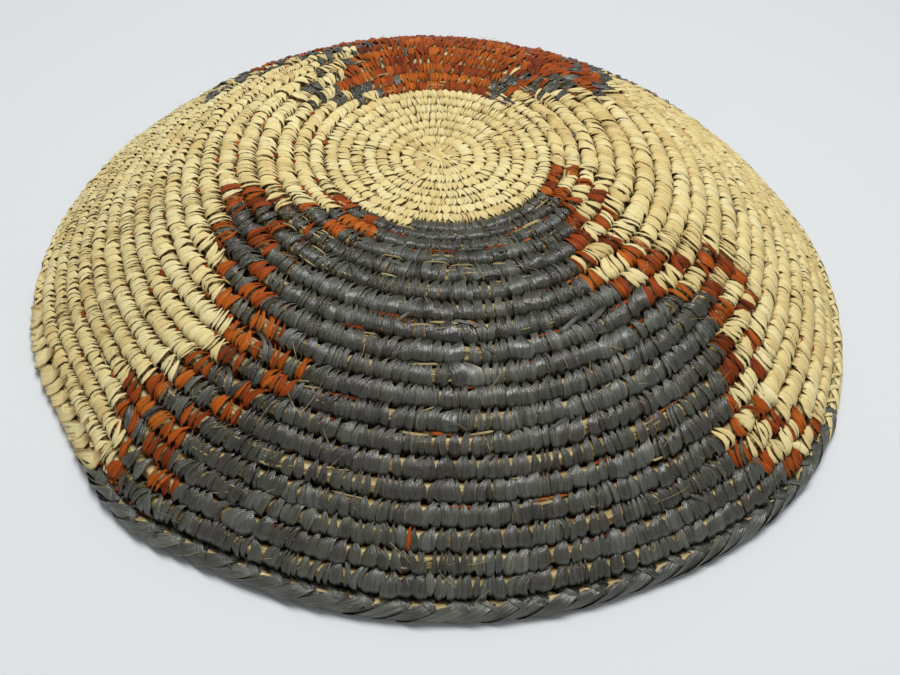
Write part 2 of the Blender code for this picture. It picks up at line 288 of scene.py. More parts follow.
def ribbon_points(path, side, half, crown, roll):
    """Corners of ribbons along paths: path (n, s, 3), side (n, s, 3), half, crown and roll (n, s)."""
    along = unit(np.gradient(path, axis=1))
    side = unit(side - (side * along).sum(-1, keepdims=True) * along)
    outward = np.cross(along, side)
    cos, sin = np.cos(roll)[..., None], np.sin(roll)[..., None]
    side, outward = side * cos + outward * sin, outward * cos - side * sin
    corners = [path + side * (across * half)[..., None] + outward * (up * crown)[..., None]
               for across, up in RIBBON_SHAPE]
    points = np.stack(corners, axis=2)
    points[..., 2] = np.clip(points[..., 2], LOWEST, HIGHEST)
    return points


def ribbon_faces(count, stations):
    """Faces of the sides and the two ends of every ribbon, counter-clockwise from outside."""
    points = len(RIBBON_SHAPE)
    s, j = np.meshgrid(np.arange(stations - 1), np.arange(points), indexing="ij")
    here, beside = s * points + j, s * points + (j + 1) % points
    sides = np.stack([here, beside, beside + points, here + points], axis=-1).reshape(-1, 4)[:, ::-1]
    last = (stations - 1) * points
    ends = np.array([[0, 1, 2], [last + 2, last + 1, last]])[:, ::-1]
    start = (np.arange(count) * stations * points)[:, None, None]
    return (sides[None] + start).reshape(-1, 4), (ends[None] + start).reshape(-1, 3)


def ribbon_uvs(count, stations):
    """A small cell of the map for each ribbon, so that a bake keeps every strip's own colour."""
    columns = math.ceil(math.sqrt(count))
    points = len(RIBBON_SHAPE)
    s, j = np.meshgrid(np.arange(stations - 1), np.arange(points), indexing="ij")
    u = np.stack([j, j + 1, j + 1, j], axis=-1).reshape(-1, 4)[:, ::-1] / points
    v = np.stack([s, s, s + 1, s + 1], axis=-1).reshape(-1, 4)[:, ::-1] / (stations - 1)
    index = np.arange(count)
    corner = np.stack([index % columns, index // columns], axis=-1)[:, None, None, :]
    sides = np.stack([u, v], axis=-1) * (1 - 2 * UV_MARGIN) + UV_MARGIN
    ends = np.stack([np.full((2, 3), 0.5), np.array([[UV_MARGIN] * 3, [1 - UV_MARGIN] * 3])], axis=-1)
    both = [((cell[None] + corner) / columns).reshape(-1, 2) for cell in (sides, ends)]
    return np.concatenate(both)


print("a ribbon of 8 stations has", len(ribbon_faces(1, 8)[0]), "quads and 2 ends")

# %% [markdown]
# Arrays aren't an object yet. A mesh could be built face by face, which is slow for half a million of them.
# Here Blender takes all points and faces in one call, and named attributes on the points carry each strip's
# own numbers to its material.

# %% Objects from arrays
SHARP_ANGLE = math.radians(75)


def new_mesh(name, points, faces, uvs, values):
    """An object from arrays, smooth but for its sharp edges, with named values on its points."""
    mesh = bpy.data.meshes.new(name)
    mesh.from_pydata(points.reshape(-1, 3), [], faces)
    layer = mesh.uv_layers.new(name="OFBake")
    layer.uv.foreach_set("vector", uvs.astype(np.float32).ravel())
    for title, numbers in values.items():
        attribute = mesh.attributes.new(title, "FLOAT", "POINT")
        attribute.data.foreach_set("value", numbers.astype(np.float32).ravel())
    mesh.shade_smooth()
    mesh.set_sharp_from_angle(angle=SHARP_ANGLE)
    piece = bpy.data.objects.new(name, mesh)
    bpy.context.scene.collection.objects.link(piece)
    return piece


def ribbon_piece(name, path, side, half, crown, roll, seed, tint=None):
    """One object that holds many separate ribbons. Tint is 0 to 1 for each, or left to chance."""
    count, stations = path.shape[:2]
    points = ribbon_points(path, side, half, crown, roll)
    draw = np.random.default_rng(seed)
    chance = draw.random((2, count))
    shape = (count, stations, len(RIBBON_SHAPE))
    values = {
        "strip_along": np.broadcast_to(np.linspace(0, 1, stations)[None, :, None], shape),
        "strip_across": np.broadcast_to(np.array(RIBBON_SHAPE)[None, None, :, 0], shape),
        "strip_tint": np.broadcast_to((chance[0] if tint is None else tint)[:, None, None], shape),
        "strip_shade": np.broadcast_to(chance[1][:, None, None], shape),
    }
    sides, ends = ribbon_faces(count, stations)
    return new_mesh(name, points, sides.tolist() + ends.tolist(), ribbon_uvs(count, stations), values)


print("edges are sharp above", round(math.degrees(SHARP_ANGLE)), "degrees")

# %% [markdown]
# Nothing on a bowl made by hand is even. Each row is a little thicker here and thinner there, and strays
# a little from its place. Noise textures could shift the mesh, but the bundle and its stitches have to
# stray together, so both read the same smooth random line, laid out along the spiral.

# %% Unevenness along the spiral
TAPER_TURN = 27.0
FURROW_SHARE = 0.58
KNOT_EVERY = 0.022
THICKNESS_SWAY, PLACE_SWAY = 0.05, 0.035
WANDER_SEEDS = {"thickness": 11, "place": 12, "lean": 21, "room": 22, "tint": 23, "width": 24, "bundle": 31}

SPIRAL_LENGTHS = np.cumsum(2 * np.pi * SECTION_RADII * SLOPE_END_TURN / (SECTION_STEPS - 1))


def length_at(turn):
    """Metres of bundle from the knot to a turn."""
    return np.interp(turn, SECTION_TURNS, SPIRAL_LENGTHS)


def wander(turn, what):
    """A smooth random number from about -1 to 1 for each place along the spiral, a line for each use."""
    count = int(SPIRAL_LENGTHS[-1] / KNOT_EVERY) + 3
    heights = np.random.default_rng(WANDER_SEEDS[what]).uniform(-1, 1, count)
    position = np.asarray(length_at(turn)) / KNOT_EVERY
    low = position.astype(int)
    share = smooth(position - low)
    return heights[low] * (1 - share) + heights[low + 1] * share


def width_share(turn):
    """Full width of a row up to the last turn, in which it tapers out."""
    return np.clip(TAPER_TURN + 1 - turn, 0, 1)


def on_row(turn, degrees_off, across, lift_share, extra):
    """A point of a row: across in row widths from its middle, lifted by a share of its half thickness."""
    share = width_share(turn)
    middle = np.where(turn < TAPER_TURN, turn, (turn + TAPER_TURN) / 2)
    thick = half_thickness(middle) * (FURROW_SHARE + (1 - FURROW_SHARE) * share)
    thick = thick * (1 + THICKNESS_SWAY * wander(turn, "thickness"))
    stray = PLACE_SWAY * wander(turn, "place") * widened(turn)
    return place(middle + (across + stray) * share, turn * 360 + degrees_off, lift_share * thick + extra)


print("the bundle is", round(float(length_at(RIM_TURN)), 2), "m long")

# %% [markdown]
# One stitch comes up between two rows, goes over the bundle and dives into the next furrow.
# Its path is a few points across the row. On the base it is flat on top with square shoulders, on the wall
# rounder, and inside the bowl it only has to close the furrows. Many strips are split lengthwise, so a
# stitch has one to three ribbons, which part at one end, at both or not at all, or cross. Every strip could
# follow a curve of its own, but three short lists of points are easier to set against the real bowl.

# %% Shape of a stitch
# each point as its place across the row and its lift, in row widths and half thicknesses
WALL_PATH = np.array([
    (-0.63, 0.46), (-0.55, 0.66), (-0.39, 0.86), (-0.12, 1.02),
    (0.16, 1.07), (0.37, 0.92), (0.49, 0.46), (0.46, -0.04),
]).T
BASE_PATH = np.array([
    (-0.55, 0.34), (-0.56, 0.68), (-0.44, 0.92), (-0.18, 1.02),
    (0.10, 1.01), (0.33, 0.92), (0.49, 0.64), (0.52, 0.20),
]).T
INSIDE_PATH = np.array([(0.48, -0.05), (0.30, -0.86), (-0.30, -0.90), (-0.54, -0.15)]).T

# place at the start, in the middle and at the end, and width, all in half widths of the stitch
SPLITS = {
    "one": ((0.0, 0.0, 0.0, 1.0),),
    "two": ((-0.40, -0.50, -0.46, 0.56), (0.40, 0.50, 0.46, 0.56)),
    "fork_up": ((-0.85, -0.46, -0.30, 0.54), (0.85, 0.46, 0.30, 0.54)),
    "fork_down": ((-0.10, -0.40, -0.75, 0.50), (0.20, 0.44, 0.75, 0.54)),
    "three": ((-0.66, -0.66, -0.60, 0.40), (0.0, 0.06, 0.0, 0.42), (0.66, 0.66, 0.60, 0.38)),
    "crossed": ((-0.60, 0.10, 0.65, 0.60), (0.45, -0.20, -0.60, 0.55)),
}
SPLIT_NAMES = tuple(SPLITS)
print("a stitch is one of", ", ".join(SPLIT_NAMES))

# %% [markdown]
# Each field is sewn by its own habit. On the base the strips are wide where they come up and narrow where
# they go in, which leaves dark triangles. In the left field they come up folded and narrow, hug their
# neighbours and spread out flat towards the rim, and in the right field it is the other way about. The dark
# and rust strips are pulled tighter at both ends, and along the borders they lie loosely. A table of such
# habits keeps the sewing itself one function.

# %% Kinds of sewing
class Sewing:
    """How one kind of stitch is sewn. Lean, hug and roll are each a value and its spread."""

    def __init__(self, spacing, fullness, thin, lean, hug, twist, crown, lift, ends, chances,
                 roll=(0.0, 0.10), tuck=0.0, slump=0.0, fold=0.0, tint=0.0):
        # metres of row for a stitch, in a fine and in a coarse row, and the strip's width in these
        self.spacing, self.fullness = spacing, fullness
        # how much wider and narrower the strips get along the row
        self.thin = thin
        # how far the start lies ahead of the end, in row widths, and a narrow end aside, in half widths
        self.lean, self.hug = lean, hug
        # roll of a strip, spread of its twist and roll of a narrow end, in radians
        self.roll, self.twist, self.fold = roll, twist, fold
        # height of the raised middle, in half widths, and how unevenly high the strips lie, in metres
        self.crown, self.lift = crown, lift
        # widths left at the start and at the end, and the chance of each split
        self.ends, self.chances = ends, chances
        # how far the start slides over the furrow, and how much the first half lies above the second
        self.tuck, self.slump = tuck, slump
        # how much further up the ramp of shades the strips are
        self.tint = tint


SEWING = {
    "knot": Sewing(
        spacing=(0.0026, 0.0026), fullness=1.20, thin=0.05, lean=(0.0, 0.10), hug=(0.0, 0.2), twist=0.14,
        crown=0.26, lift=0.0004, ends=(0.85, 0.50), chances=(0.55, 0.25, 0.05, 0.05, 0.03, 0.07),
        roll=(0.0, 0.12)),
    "base": Sewing(
        spacing=(0.0033, 0.0033), fullness=1.18, thin=0.08, lean=(0.02, 0.12), hug=(-0.2, 0.4), twist=0.16,
        crown=0.22, lift=0.0006, ends=(0.94, 0.18), chances=(0.50, 0.20, 0.16, 0.05, 0.04, 0.05),
        tuck=0.03, slump=0.04),
    "natural_left": Sewing(
        spacing=(0.0043, 0.0036), fullness=1.26, thin=0.08, lean=(0.20, 0.09), hug=(0.95, 0.25), twist=0.12,
        crown=0.20, lift=0.0007, ends=(0.12, 0.97), chances=(0.50, 0.16, 0.02, 0.22, 0.06, 0.04),
        roll=(0.0, 0.07), tuck=0.06, fold=0.35, tint=0.10),
    "natural_right": Sewing(
        spacing=(0.0048, 0.0038), fullness=1.24, thin=0.06, lean=(0.20, 0.09), hug=(-0.95, 0.25), twist=0.06,
        crown=0.17, lift=0.0005, ends=(0.98, 0.06), chances=(0.56, 0.10, 0.24, 0.02, 0.04, 0.04),
        roll=(0.04, 0.04), tuck=0.15, slump=0.16, fold=0.10, tint=-0.12),
    "dark": Sewing(
        spacing=(0.0039, 0.0051), fullness=1.15, thin=0.28, lean=(0.12, 0.18), hug=(0.2, 0.5), twist=0.27,
        crown=0.24, lift=0.0011, ends=(0.40, 0.80), chances=(0.42, 0.20, 0.14, 0.10, 0.06, 0.08),
        roll=(0.0, 0.13), tuck=0.04, fold=0.30),
    "rust": Sewing(
        spacing=(0.0038, 0.0043), fullness=1.08, thin=0.14, lean=(0.14, 0.14), hug=(0.3, 0.45), twist=0.30,
        crown=0.34, lift=0.0010, ends=(0.36, 0.44), chances=(0.44, 0.20, 0.12, 0.10, 0.06, 0.08),
        roll=(0.0, 0.12), tuck=0.04, fold=0.40),
    "border": Sewing(
        spacing=(0.0042, 0.0046), fullness=1.08, thin=0.20, lean=(0.10, 0.38), hug=(0.2, 0.6), twist=0.50,
        crown=0.36, lift=0.0018, ends=(0.42, 0.42), chances=(0.20, 0.22, 0.14, 0.14, 0.08, 0.22),
        roll=(0.0, 0.20), fold=0.60),
}
print("kinds of sewing:", ", ".join(SEWING))

# %% [markdown]
# The spiral is walked from the knot to the rim, one stitch after the other. How much room a stitch takes
# depends on the kind, and sways a little along the row as a maker's hand does. A grid of stitches would be
# quicker to lay out, but it shows.

# %% Stitches along the spiral
KNOT_TURN, START_TURN, LAST_TURN = 2.5, 0.35, 27.9
COARSE_FROM, COARSE_TURNS = 12.0, 12.0
ROOM_CHANCE, ROOM_SWAY = (0.72, 1.28), 0.36
BORDER_STRAY = 0.0028
BORDER_REACH = 0.011
WALK_SEED = 3


def kind_at(turn, colour):
    """The kind of sewing at a place. Where two colours meet, the strips lie more loosely."""
    if turn < COLOUR_TURN:
        return "knot" if turn < KNOT_TURN else "base"
    reach = math.degrees(BORDER_REACH / float(radius_at(turn)))
    if {colour_at(turn, turn * 360 + way * reach) for way in (-1, 1)} != {colour}:
        return "border"
    if colour == "natural":
        return "natural_right" if turn % 1 < 0.5 else "natural_left"
    return colour


def walk_spiral(draw):
    """Each stitch along the spiral as (turn, kind of sewing, colour, room along the row)."""
    turn = START_TURN
    found = []
    while turn < LAST_TURN:
        radius = float(radius_at(turn))
        stray = math.degrees(draw.normal(0, BORDER_STRAY) / radius) if turn > COLOUR_TURN else 0.0
        colour = colour_at(turn, turn * 360 + stray)
        kind = kind_at(turn, colour)
        coarse = float(grown(turn, COARSE_FROM, COARSE_TURNS))
        fine_room, coarse_room = SEWING[kind].spacing
        room = (fine_room + (coarse_room - fine_room) * coarse) * draw.uniform(*ROOM_CHANCE)
        room *= math.exp(ROOM_SWAY * float(wander(turn, "room")))
        reach = room / (2 * math.pi * radius)
        found.append((turn + reach / 2, kind, colour, room))
        turn += reach
    return found


stitches = walk_spiral(np.random.default_rng(WALK_SEED))
print(len(stitches), "stitches along the spiral")

# %% [markdown]
# The stitches are shared out over pieces, one for each sewn field of the frame, so that a piece can stand
# for its field. Stitches of a colour that lie in a field of another colour go to the edging pieces. All
# stitches could be one piece, but then it couldn't say which solid each field stands for.

# %% Pieces of the sewing
WAIST_TURN = 19.0
STRAY_CHANCES = {"natural": (("dark", 0.001),), "dark": (("rust", 0.001),),
                 "rust": (("dark", 0.006), ("natural", 0.002))}


def piece_of(turn, colour):
    """Name of the piece that a strip belongs to."""
    if turn < KNOT_TURN:
        return "knot_stitches"
    if turn < WIDEN_TURN and colour == "natural":
        return "base_stitches"
    level = "upper" if turn < WAIST_TURN else "lower"
    degrees = from_left(turn * 360)
    if colour == "dark" and degrees < RIGHT_MIDDLE:
        return f"dark_front_{level}_stitches"
    if colour == "rust" and degrees > RIGHT_MIDDLE:
        return f"rust_back_{level}_stitches"
    if colour == "natural":
        side = "right" if 0 <= degrees < BACK_MIDDLE else "left"
        return f"natural_{side}_{level}_stitches"
    return f"{colour}_edging_stitches"


def strayed(colour, turn, draw):
    """Now and then a strip is of another colour."""
    chance = draw.random()
    if turn > COLOUR_TURN:
        for other, share in STRAY_CHANCES[colour]:
            if chance < share:
                return other
            chance -= share
    return colour


print("a natural strip at turn 5 goes to", piece_of(5.0, "natural"))

# %% [markdown]
# Every ribbon of a stitch is a row of numbers: where it lies, how wide it is, how it rolls and twists.
# Neighbours are alike, as from one leaf and one hand, so width, lean and tint sway along the spiral and the
# rest is left to chance. Where the wall begins the strips lie calmer, because the bowl is highest there.
# Chance alone would be simpler, but then no two neighbours look as if one hand had sewn them.

# %% Numbers of the strips
# a chance is a spread or two limits, a sway is the part that neighbours have in common
SEW_SEED = 5
LEAST_CROWN = 0.00020
CALM_SHARE, CALM_TURN, CALM_TURNS = 0.35, 10.0, 4.0
LEAN_SWAY, LEAN_CHANCE = 1.4, 0.7
LEAN_START, LEAN_MIDDLE, LEAN_END = 0.8, 0.15, 0.2
PLACE_CHANCE, END_PLACE_CHANCE, SLIP_CHANCE = 0.10, 0.04, 0.04
FOLD_CHANCE = 0.7
ENDS_CHANCE, WIDTH_CHANCE, CROWN_CHANCE = (0.75, 1.25), (0.84, 1.16), (0.5, 1.4)
LIFT_CHANCE, LAYER = (-0.35, 0.65), 0.00018
TAPER_CHANCE = 0.20
TINT_MIDDLE, TINT_SWAY, TINT_CHANCE, STRIP_TINT_CHANCE = 0.5, 0.40, 0.20, 0.08
INSIDE_ENDS, INSIDE_CROWN = (0.60, 0.55), 0.0003
INSIDE_WIDTH, INSIDE_PLACE, INSIDE_LIFT, INSIDE_ROLL = (0.9, 1.1), 0.12, (0, 0.0003), 0.06


def strip_row(turn, shifts, width, lift, roll, crown, ends, tint, twist=0.0, slip=0.0, hug=0.0, tuck=0.0,
              slump=0.0, fold=0.0, taper=0.0):
    """One ribbon of a stitch, its numbers in the order in which they are read again."""
    return (turn, *shifts, width, lift, roll, twist, crown, slip, hug, tuck, slump, fold, taper, *ends, tint)


def calm_at(turn):
    """How wild the strips lie: 1 on the wall and on the base, less where the wall begins."""
    if turn <= WIDEN_TURN:
        return 1
    return CALM_SHARE + (1 - CALM_SHARE) * float(grown(turn, CALM_TURN, CALM_TURNS))


def outside_strips(stitch, draw):
    """Numbers of each ribbon on the outside of a stitch."""
    turn, kind, colour, room = stitch
    sewing = SEWING[kind]
    half = room * sewing.fullness / 2 * (1 + sewing.thin * float(wander(turn, "width")))
    row = float(row_width(turn))
    split = SPLIT_NAMES[int(draw.choice(len(SPLIT_NAMES), p=sewing.chances))]
    lean_mean, lean_spread = sewing.lean
    lean_sway = LEAN_SWAY * float(wander(turn, "lean")) + draw.normal(0, LEAN_CHANCE)
    lean = row * (lean_mean + lean_spread * lean_sway)
    hug = draw.normal(*sewing.hug)
    fold = sewing.fold * draw.normal(1.0, FOLD_CHANCE)
    roll = draw.normal(*sewing.roll)
    ends = [share * draw.uniform(*ENDS_CHANCE) for share in sewing.ends]
    tint = TINT_MIDDLE + TINT_SWAY * float(wander(turn, "tint")) + draw.normal(0, TINT_CHANCE) + sewing.tint
    wild = calm_at(turn)
    strips = []
    for index, (first, middle, last, share) in enumerate(SPLITS[split]):
        shifts = [half * (off + draw.normal(0, PLACE_CHANCE)) for off in (first, middle, last)]
        shifts[0] += lean * LEAN_START
        shifts[1] -= lean * LEAN_MIDDLE
        shifts[2] -= lean * LEAN_END + row * draw.normal(0, END_PLACE_CHANCE)
        width = half * share * draw.uniform(*WIDTH_CHANCE)
        lift = draw.uniform(*LIFT_CHANCE) * sewing.lift * wild + LAYER * index
        strips.append(strip_row(
            turn, shifts, width, lift, roll, ends=ends, hug=hug * half, tuck=sewing.tuck, slump=sewing.slump,
            fold=fold * wild, twist=draw.normal(0, sewing.twist) * wild,
            crown=LEAST_CROWN + width * sewing.crown * draw.uniform(*CROWN_CHANCE) * wild,
            slip=draw.normal(0, SLIP_CHANCE), taper=draw.normal(0, TAPER_CHANCE),
            tint=min(max(tint + draw.normal(0, STRIP_TINT_CHANCE), 0), 1)))
    return strips


def inside_strip(stitch, draw):
    """Numbers of the one ribbon on the inside of a stitch."""
    turn, _, _, room = stitch
    half = room * 0.5 * draw.uniform(*INSIDE_WIDTH)
    shifts = [half * draw.normal(0, INSIDE_PLACE) for _ in range(3)]
    return strip_row(turn, shifts, half, draw.uniform(*INSIDE_LIFT), draw.normal(0, INSIDE_ROLL),
                     INSIDE_CROWN, INSIDE_ENDS, draw.random())


def sew(stitches, draw):
    """Numbers of all ribbons, by piece: outside and inside the bowl."""
    outside, inside = {}, {}
    for stitch in stitches:
        turn, _, colour, _ = stitch
        for strip in outside_strips(stitch, draw):
            outside.setdefault(piece_of(turn, strayed(colour, turn, draw)), []).append(strip)
        inside.setdefault(piece_of(turn, colour), []).append(inside_strip(stitch, draw))
    return outside, inside


outside, inside = sew(stitches, np.random.default_rng(SEW_SEED))
for name in sorted(outside):
    print(f"{name}: {len(outside[name])} ribbons outside, {len(inside.get(name, []))} inside")

# %% [markdown]
# Now the numbers become ribbons. They could be made strip by strip, but that is slow. All strips of a piece
# go through the same few array sums, first those on the outside and then those on the inside, and both end
# up in one mesh.

# %% Sewn pieces
DRAWN_BY = 1.50
PATH_CHANGE = 0.6
LAST_WIDTH = 0.55
CROWN_LOSS = 0.6
SEWN_SEED, SEED_STEP = 100, 10


def stitch_ribbons(rows, wall_path, base_path, face):
    """Paths, sides, half widths, crowns and roll of stitches. Face is 1 outside the bowl, -1 inside."""
    (turn, first, middle, last, half, lift, roll, twist, crown, slip, hug, tuck, slump, fold,
     taper, start_share, end_share) = np.array(rows).T[:-1, :, None]
    wall_share = np.clip((turn - WIDEN_TURN + PATH_CHANGE) / (2 * PATH_CHANGE), 0, 1)
    across, lift_share = (base[None] * (1 - wall_share) + wall[None] * wall_share
                          for wall, base in zip(wall_path, base_path))
    way = np.linspace(-1, 1, across.shape[1])[None]
    drawn_in = (1 - start_share) * smooth(-DRAWN_BY * way) + (1 - end_share) * smooth(DRAWN_BY * way)
    along = middle + (last - first) / 2 * way + ((first + last) / 2 - middle) * way * way + hug * drawn_in
    degrees = np.degrees(along / radius_at(turn))
    lift_share = lift_share - slump * np.sin(np.pi * way)
    path = on_row(turn, degrees, across + slip + tuck * smooth(-way), lift_share, face * lift)
    angle = np.radians(turn * 360 + degrees)
    side = np.stack([np.cos(angle), np.sin(angle), np.zeros_like(angle)], axis=-1)
    half = half * (1 - drawn_in) * (1 + taper * way)
    half = half * (LAST_WIDTH + (1 - LAST_WIDTH) * width_share(turn))
    crown = crown * (1 - CROWN_LOSS * drawn_in) + 0 * half
    return path, side, half, crown, roll + twist * way + fold * drawn_in


def joined(name, parts, seed):
    """One object from several sets of ribbons with unlike numbers of stations."""
    pieces = []
    for index, (part, tint) in enumerate(parts):
        pieces.append(ribbon_piece(f"{name}_{index}", *part, seed + index, tint))
    with bpy.context.temp_override(active_object=pieces[0], object=pieces[0], selected_objects=pieces,
                                   selected_editable_objects=pieces):
        bpy.ops.object.join()
    pieces[0].name = name
    pieces[0].data.name = name
    return pieces[0]


def sewn_piece(name, seed):
    """All stitches of a piece, outside and inside the bowl."""
    faces = ((outside[name], (WALL_PATH, BASE_PATH), 1),
             (inside.get(name), (INSIDE_PATH, INSIDE_PATH), -1))
    parts = []
    for rows, paths, face in faces:
        if rows:
            parts.append((stitch_ribbons(rows, *paths, face), np.array(rows)[:, -1]))
    return joined(name, parts, seed)


def triangle_count(pieces):
    return sum(len(face.vertices) - 2 for piece in pieces for face in piece.data.polygons)


sewn = {name: sewn_piece(name, SEWN_SEED + SEED_STEP * index) for index, name in enumerate(sorted(outside))}
print(triangle_count(sewn.values()), "triangles of stitches")

# %% [markdown]
# Under the sewing lies the bundle of grass. Only bits of it show between the strips, yet it closes every
# gap with straw instead of a hole. A bevelled curve would do for a round rope; this one is wider than it
# is high and has the ridges of its stems, so its rings of points are laid out with sums.

# %% Bundles of grass
RINGS_PER_TURN = 72
RING_POINTS = 14
STEM_DEPTH = 0.10
RIDGES = 1 - STEM_DEPTH * (np.arange(RING_POINTS) % 2)
BUNDLE_SPREAD, BUNDLE_RISE, BUNDLE_SWELL = 0.41, 0.77, 0.12
LINE_RINGS = 80
COIL_START = 0.45


def tube_piece(name, rings, lengths):
    """A closed tube through rings (s, j, 3), with values along and round it, in lines of its own map."""
    count, points = rings.shape[:2]
    s, j = np.meshgrid(np.arange(count - 1), np.arange(points), indexing="ij")
    here, beside = s * points + j, s * points + (j + 1) % points
    quads = np.stack([here, beside, beside + points, here + points], axis=-1).reshape(-1, 4)
    lines = math.ceil((count - 1) / LINE_RINGS)
    line = s.reshape(-1, 1) // LINE_RINGS
    u = np.stack([s, s, s + 1, s + 1], axis=-1).reshape(-1, 4) - line * LINE_RINGS
    v = np.stack([j, j + 1, j + 1, j], axis=-1).reshape(-1, 4) / points * (1 - 2 * UV_MARGIN) + UV_MARGIN
    uvs = np.stack([u / LINE_RINGS, (v + line) / lines], axis=-1).reshape(-1, 2)
    uvs = np.concatenate([uvs, np.full((2 * points, 2), 0.5 / lines)])
    caps = [list(range(points))[::-1], list(range((count - 1) * points, count * points))]
    values = {
        "stem_along": np.broadcast_to(lengths[:, None], (count, points)),
        "stem_around": np.broadcast_to(np.arange(points) / points, (count, points)),
    }
    return new_mesh(name, rings, quads.tolist() + caps, uvs, values)


def ring_shares():
    """Each point of a ring as across and up shares, with a ridge for every second point."""
    angle = 2 * np.pi * np.arange(RING_POINTS) / RING_POINTS
    return -np.sin(angle) * RIDGES, np.cos(angle) * RIDGES


def coil_piece(name, first, last):
    """The bundle from one turn to another."""
    turn = np.linspace(first, last, int((last - first) * RINGS_PER_TURN))[:, None]
    across, up = ring_shares()
    rise = BUNDLE_RISE + BUNDLE_SWELL * wander(turn, "bundle")
    rings = on_row(turn, 0.0, BUNDLE_SPREAD * across[None], rise * up[None], 0.0)
    return tube_piece(name, rings, length_at(turn[:, 0]))


base_bundle = coil_piece("base_bundle", COIL_START, WIDEN_TURN)
wall_bundle = coil_piece("wall_bundle", WIDEN_TURN, LAST_TURN)
for bundle in (base_bundle, wall_bundle):
    print(bundle.name, "has", len(bundle.data.vertices) // RING_POINTS, "rings")

# %% [markdown]
# The rim is a ring of grass with strips plaited over it. A place on it is an angle along the edge and an
# angle round its section, 0 outward and 90 up. The ring stands on the floor, so its underside is flat.
# The plait is pulled tight, so it is a little slimmer than the frame's rim and sits a little further in.
# A torus would be quicker, but it is evenly round, and this ring swells where the real rim does.

# %% Rim bundle
RIM_SKIN_HALF = 0.0046
RIM_DRAWN_IN = 0.0006
RIM_BUNDLE_SHARE = 0.90
RIM_RINGS = 240
FLOOR_GAP = 0.0004


def rim_outward(degrees, around):
    """Direction out of the rim's section."""
    angle, section = np.radians(degrees), np.radians(around)
    out = np.cos(section)
    return np.stack([out * np.sin(angle), -out * np.cos(angle), np.sin(section) + 0 * angle], axis=-1)


def rim_skin(degrees, around, lift):
    """Points on the rim's section, lifted outward from its outside."""
    angle = np.radians(degrees)
    radius = RIM_RADIUS - RIM_DRAWN_IN + swell_at(degrees)
    middle = np.stack([radius * np.sin(angle), -radius * np.cos(angle), RIM_SKIN_HALF + 0 * angle], axis=-1)
    points = middle + rim_outward(degrees, around) * (RIM_SKIN_HALF + lift)[..., None]
    points[..., 2] = np.maximum(points[..., 2], FLOOR_GAP)
    return points


def rim_ring_piece(name):
    """The ring of grass inside the rim."""
    degrees = np.linspace(0, 360, RIM_RINGS)[:, None]
    around = 90 - 360 * np.arange(RING_POINTS)[None] / RING_POINTS
    ridge = RIDGES[None] + 0 * degrees
    rings = rim_skin(degrees, around, RIM_SKIN_HALF * (RIM_BUNDLE_SHARE * ridge - 1))
    return tube_piece(name, rings, np.radians(degrees[:, 0]) * RIM_RADIUS)


rim_bundle = rim_ring_piece("rim_bundle")
print("rim ring points:", len(rim_bundle.data.vertices))

# %% [markdown]
# The rim's strips are plaited. Strips climb over the edge at a slant, one every 9 to 12 mm, with shorter
# ones between and under them. A narrow strip folds back over the top end of each, others go down inside
# the bowl, and straw shows between them. Part of the left length has broad leaves and few folds, and these
# leaves go on up over the last row. Every strip could be drawn by hand as a curve, but one function lays
# them all, from where a strip starts on the section to where it ends, with its shift along the edge.

# %% Rim strips
RIM_STATIONS = 10
RIM_END_SINK, RIM_END_WIDTH, RIM_END_CROWN = 0.0009, 0.5, 0.3
RIM_ROLL, RIM_ROLL_CHANGE = 0.16, 7
LEAF_ROLL = -0.10
RIM_CLIMB_FROM, RIM_CLIMB_MOST = 40, 70


def rim_ribbons(rows):
    """Ribbons on the rim. A row is middle, start and end in degrees, then shift, half, lift, crown, climb.

    Climb is 0 for a strip that keeps to the rim and about 1 for one that goes on straight up the wall.
    """
    middle, start, end, shift, half, lift, crown, climb = np.array(rows).T[:, :, None]
    way = np.linspace(0, 1, RIM_STATIONS)[None]
    off_middle = 2 * np.abs(way - 0.5)
    degrees = middle + np.degrees(shift / RIM_RADIUS) * (way - 0.5)
    around = start + (end - start) * way
    sink = RIM_END_SINK * off_middle ** 6
    past = np.radians(np.clip(around - RIM_CLIMB_FROM, 0, RIM_CLIMB_MOST))
    path = rim_skin(degrees, around, lift - sink + climb * RIM_SKIN_HALF * (1 / np.cos(past) - 1))
    angle = np.radians(degrees)
    side = -np.stack([np.cos(angle), np.sin(angle), 0 * angle], axis=-1)
    spread = 1 - RIM_END_WIDTH * off_middle ** 4
    roll = np.where(climb > 0, LEAF_ROLL, RIM_ROLL * np.sin(middle * RIM_ROLL_CHANGE))
    crown = crown * (RIM_END_CROWN + (1 - RIM_END_CROWN) * spread)
    return path, side, half * spread, crown, roll + 0 * spread


print("a strip on the rim has", RIM_STATIONS, "stations")

# %% [markdown]
# A plait repeats after each strip, so a length of rim is its first and last degree, the pitch and the
# widths. An array modifier could repeat one strip too, but all its copies are the same, and here chance
# moves every strip a little.

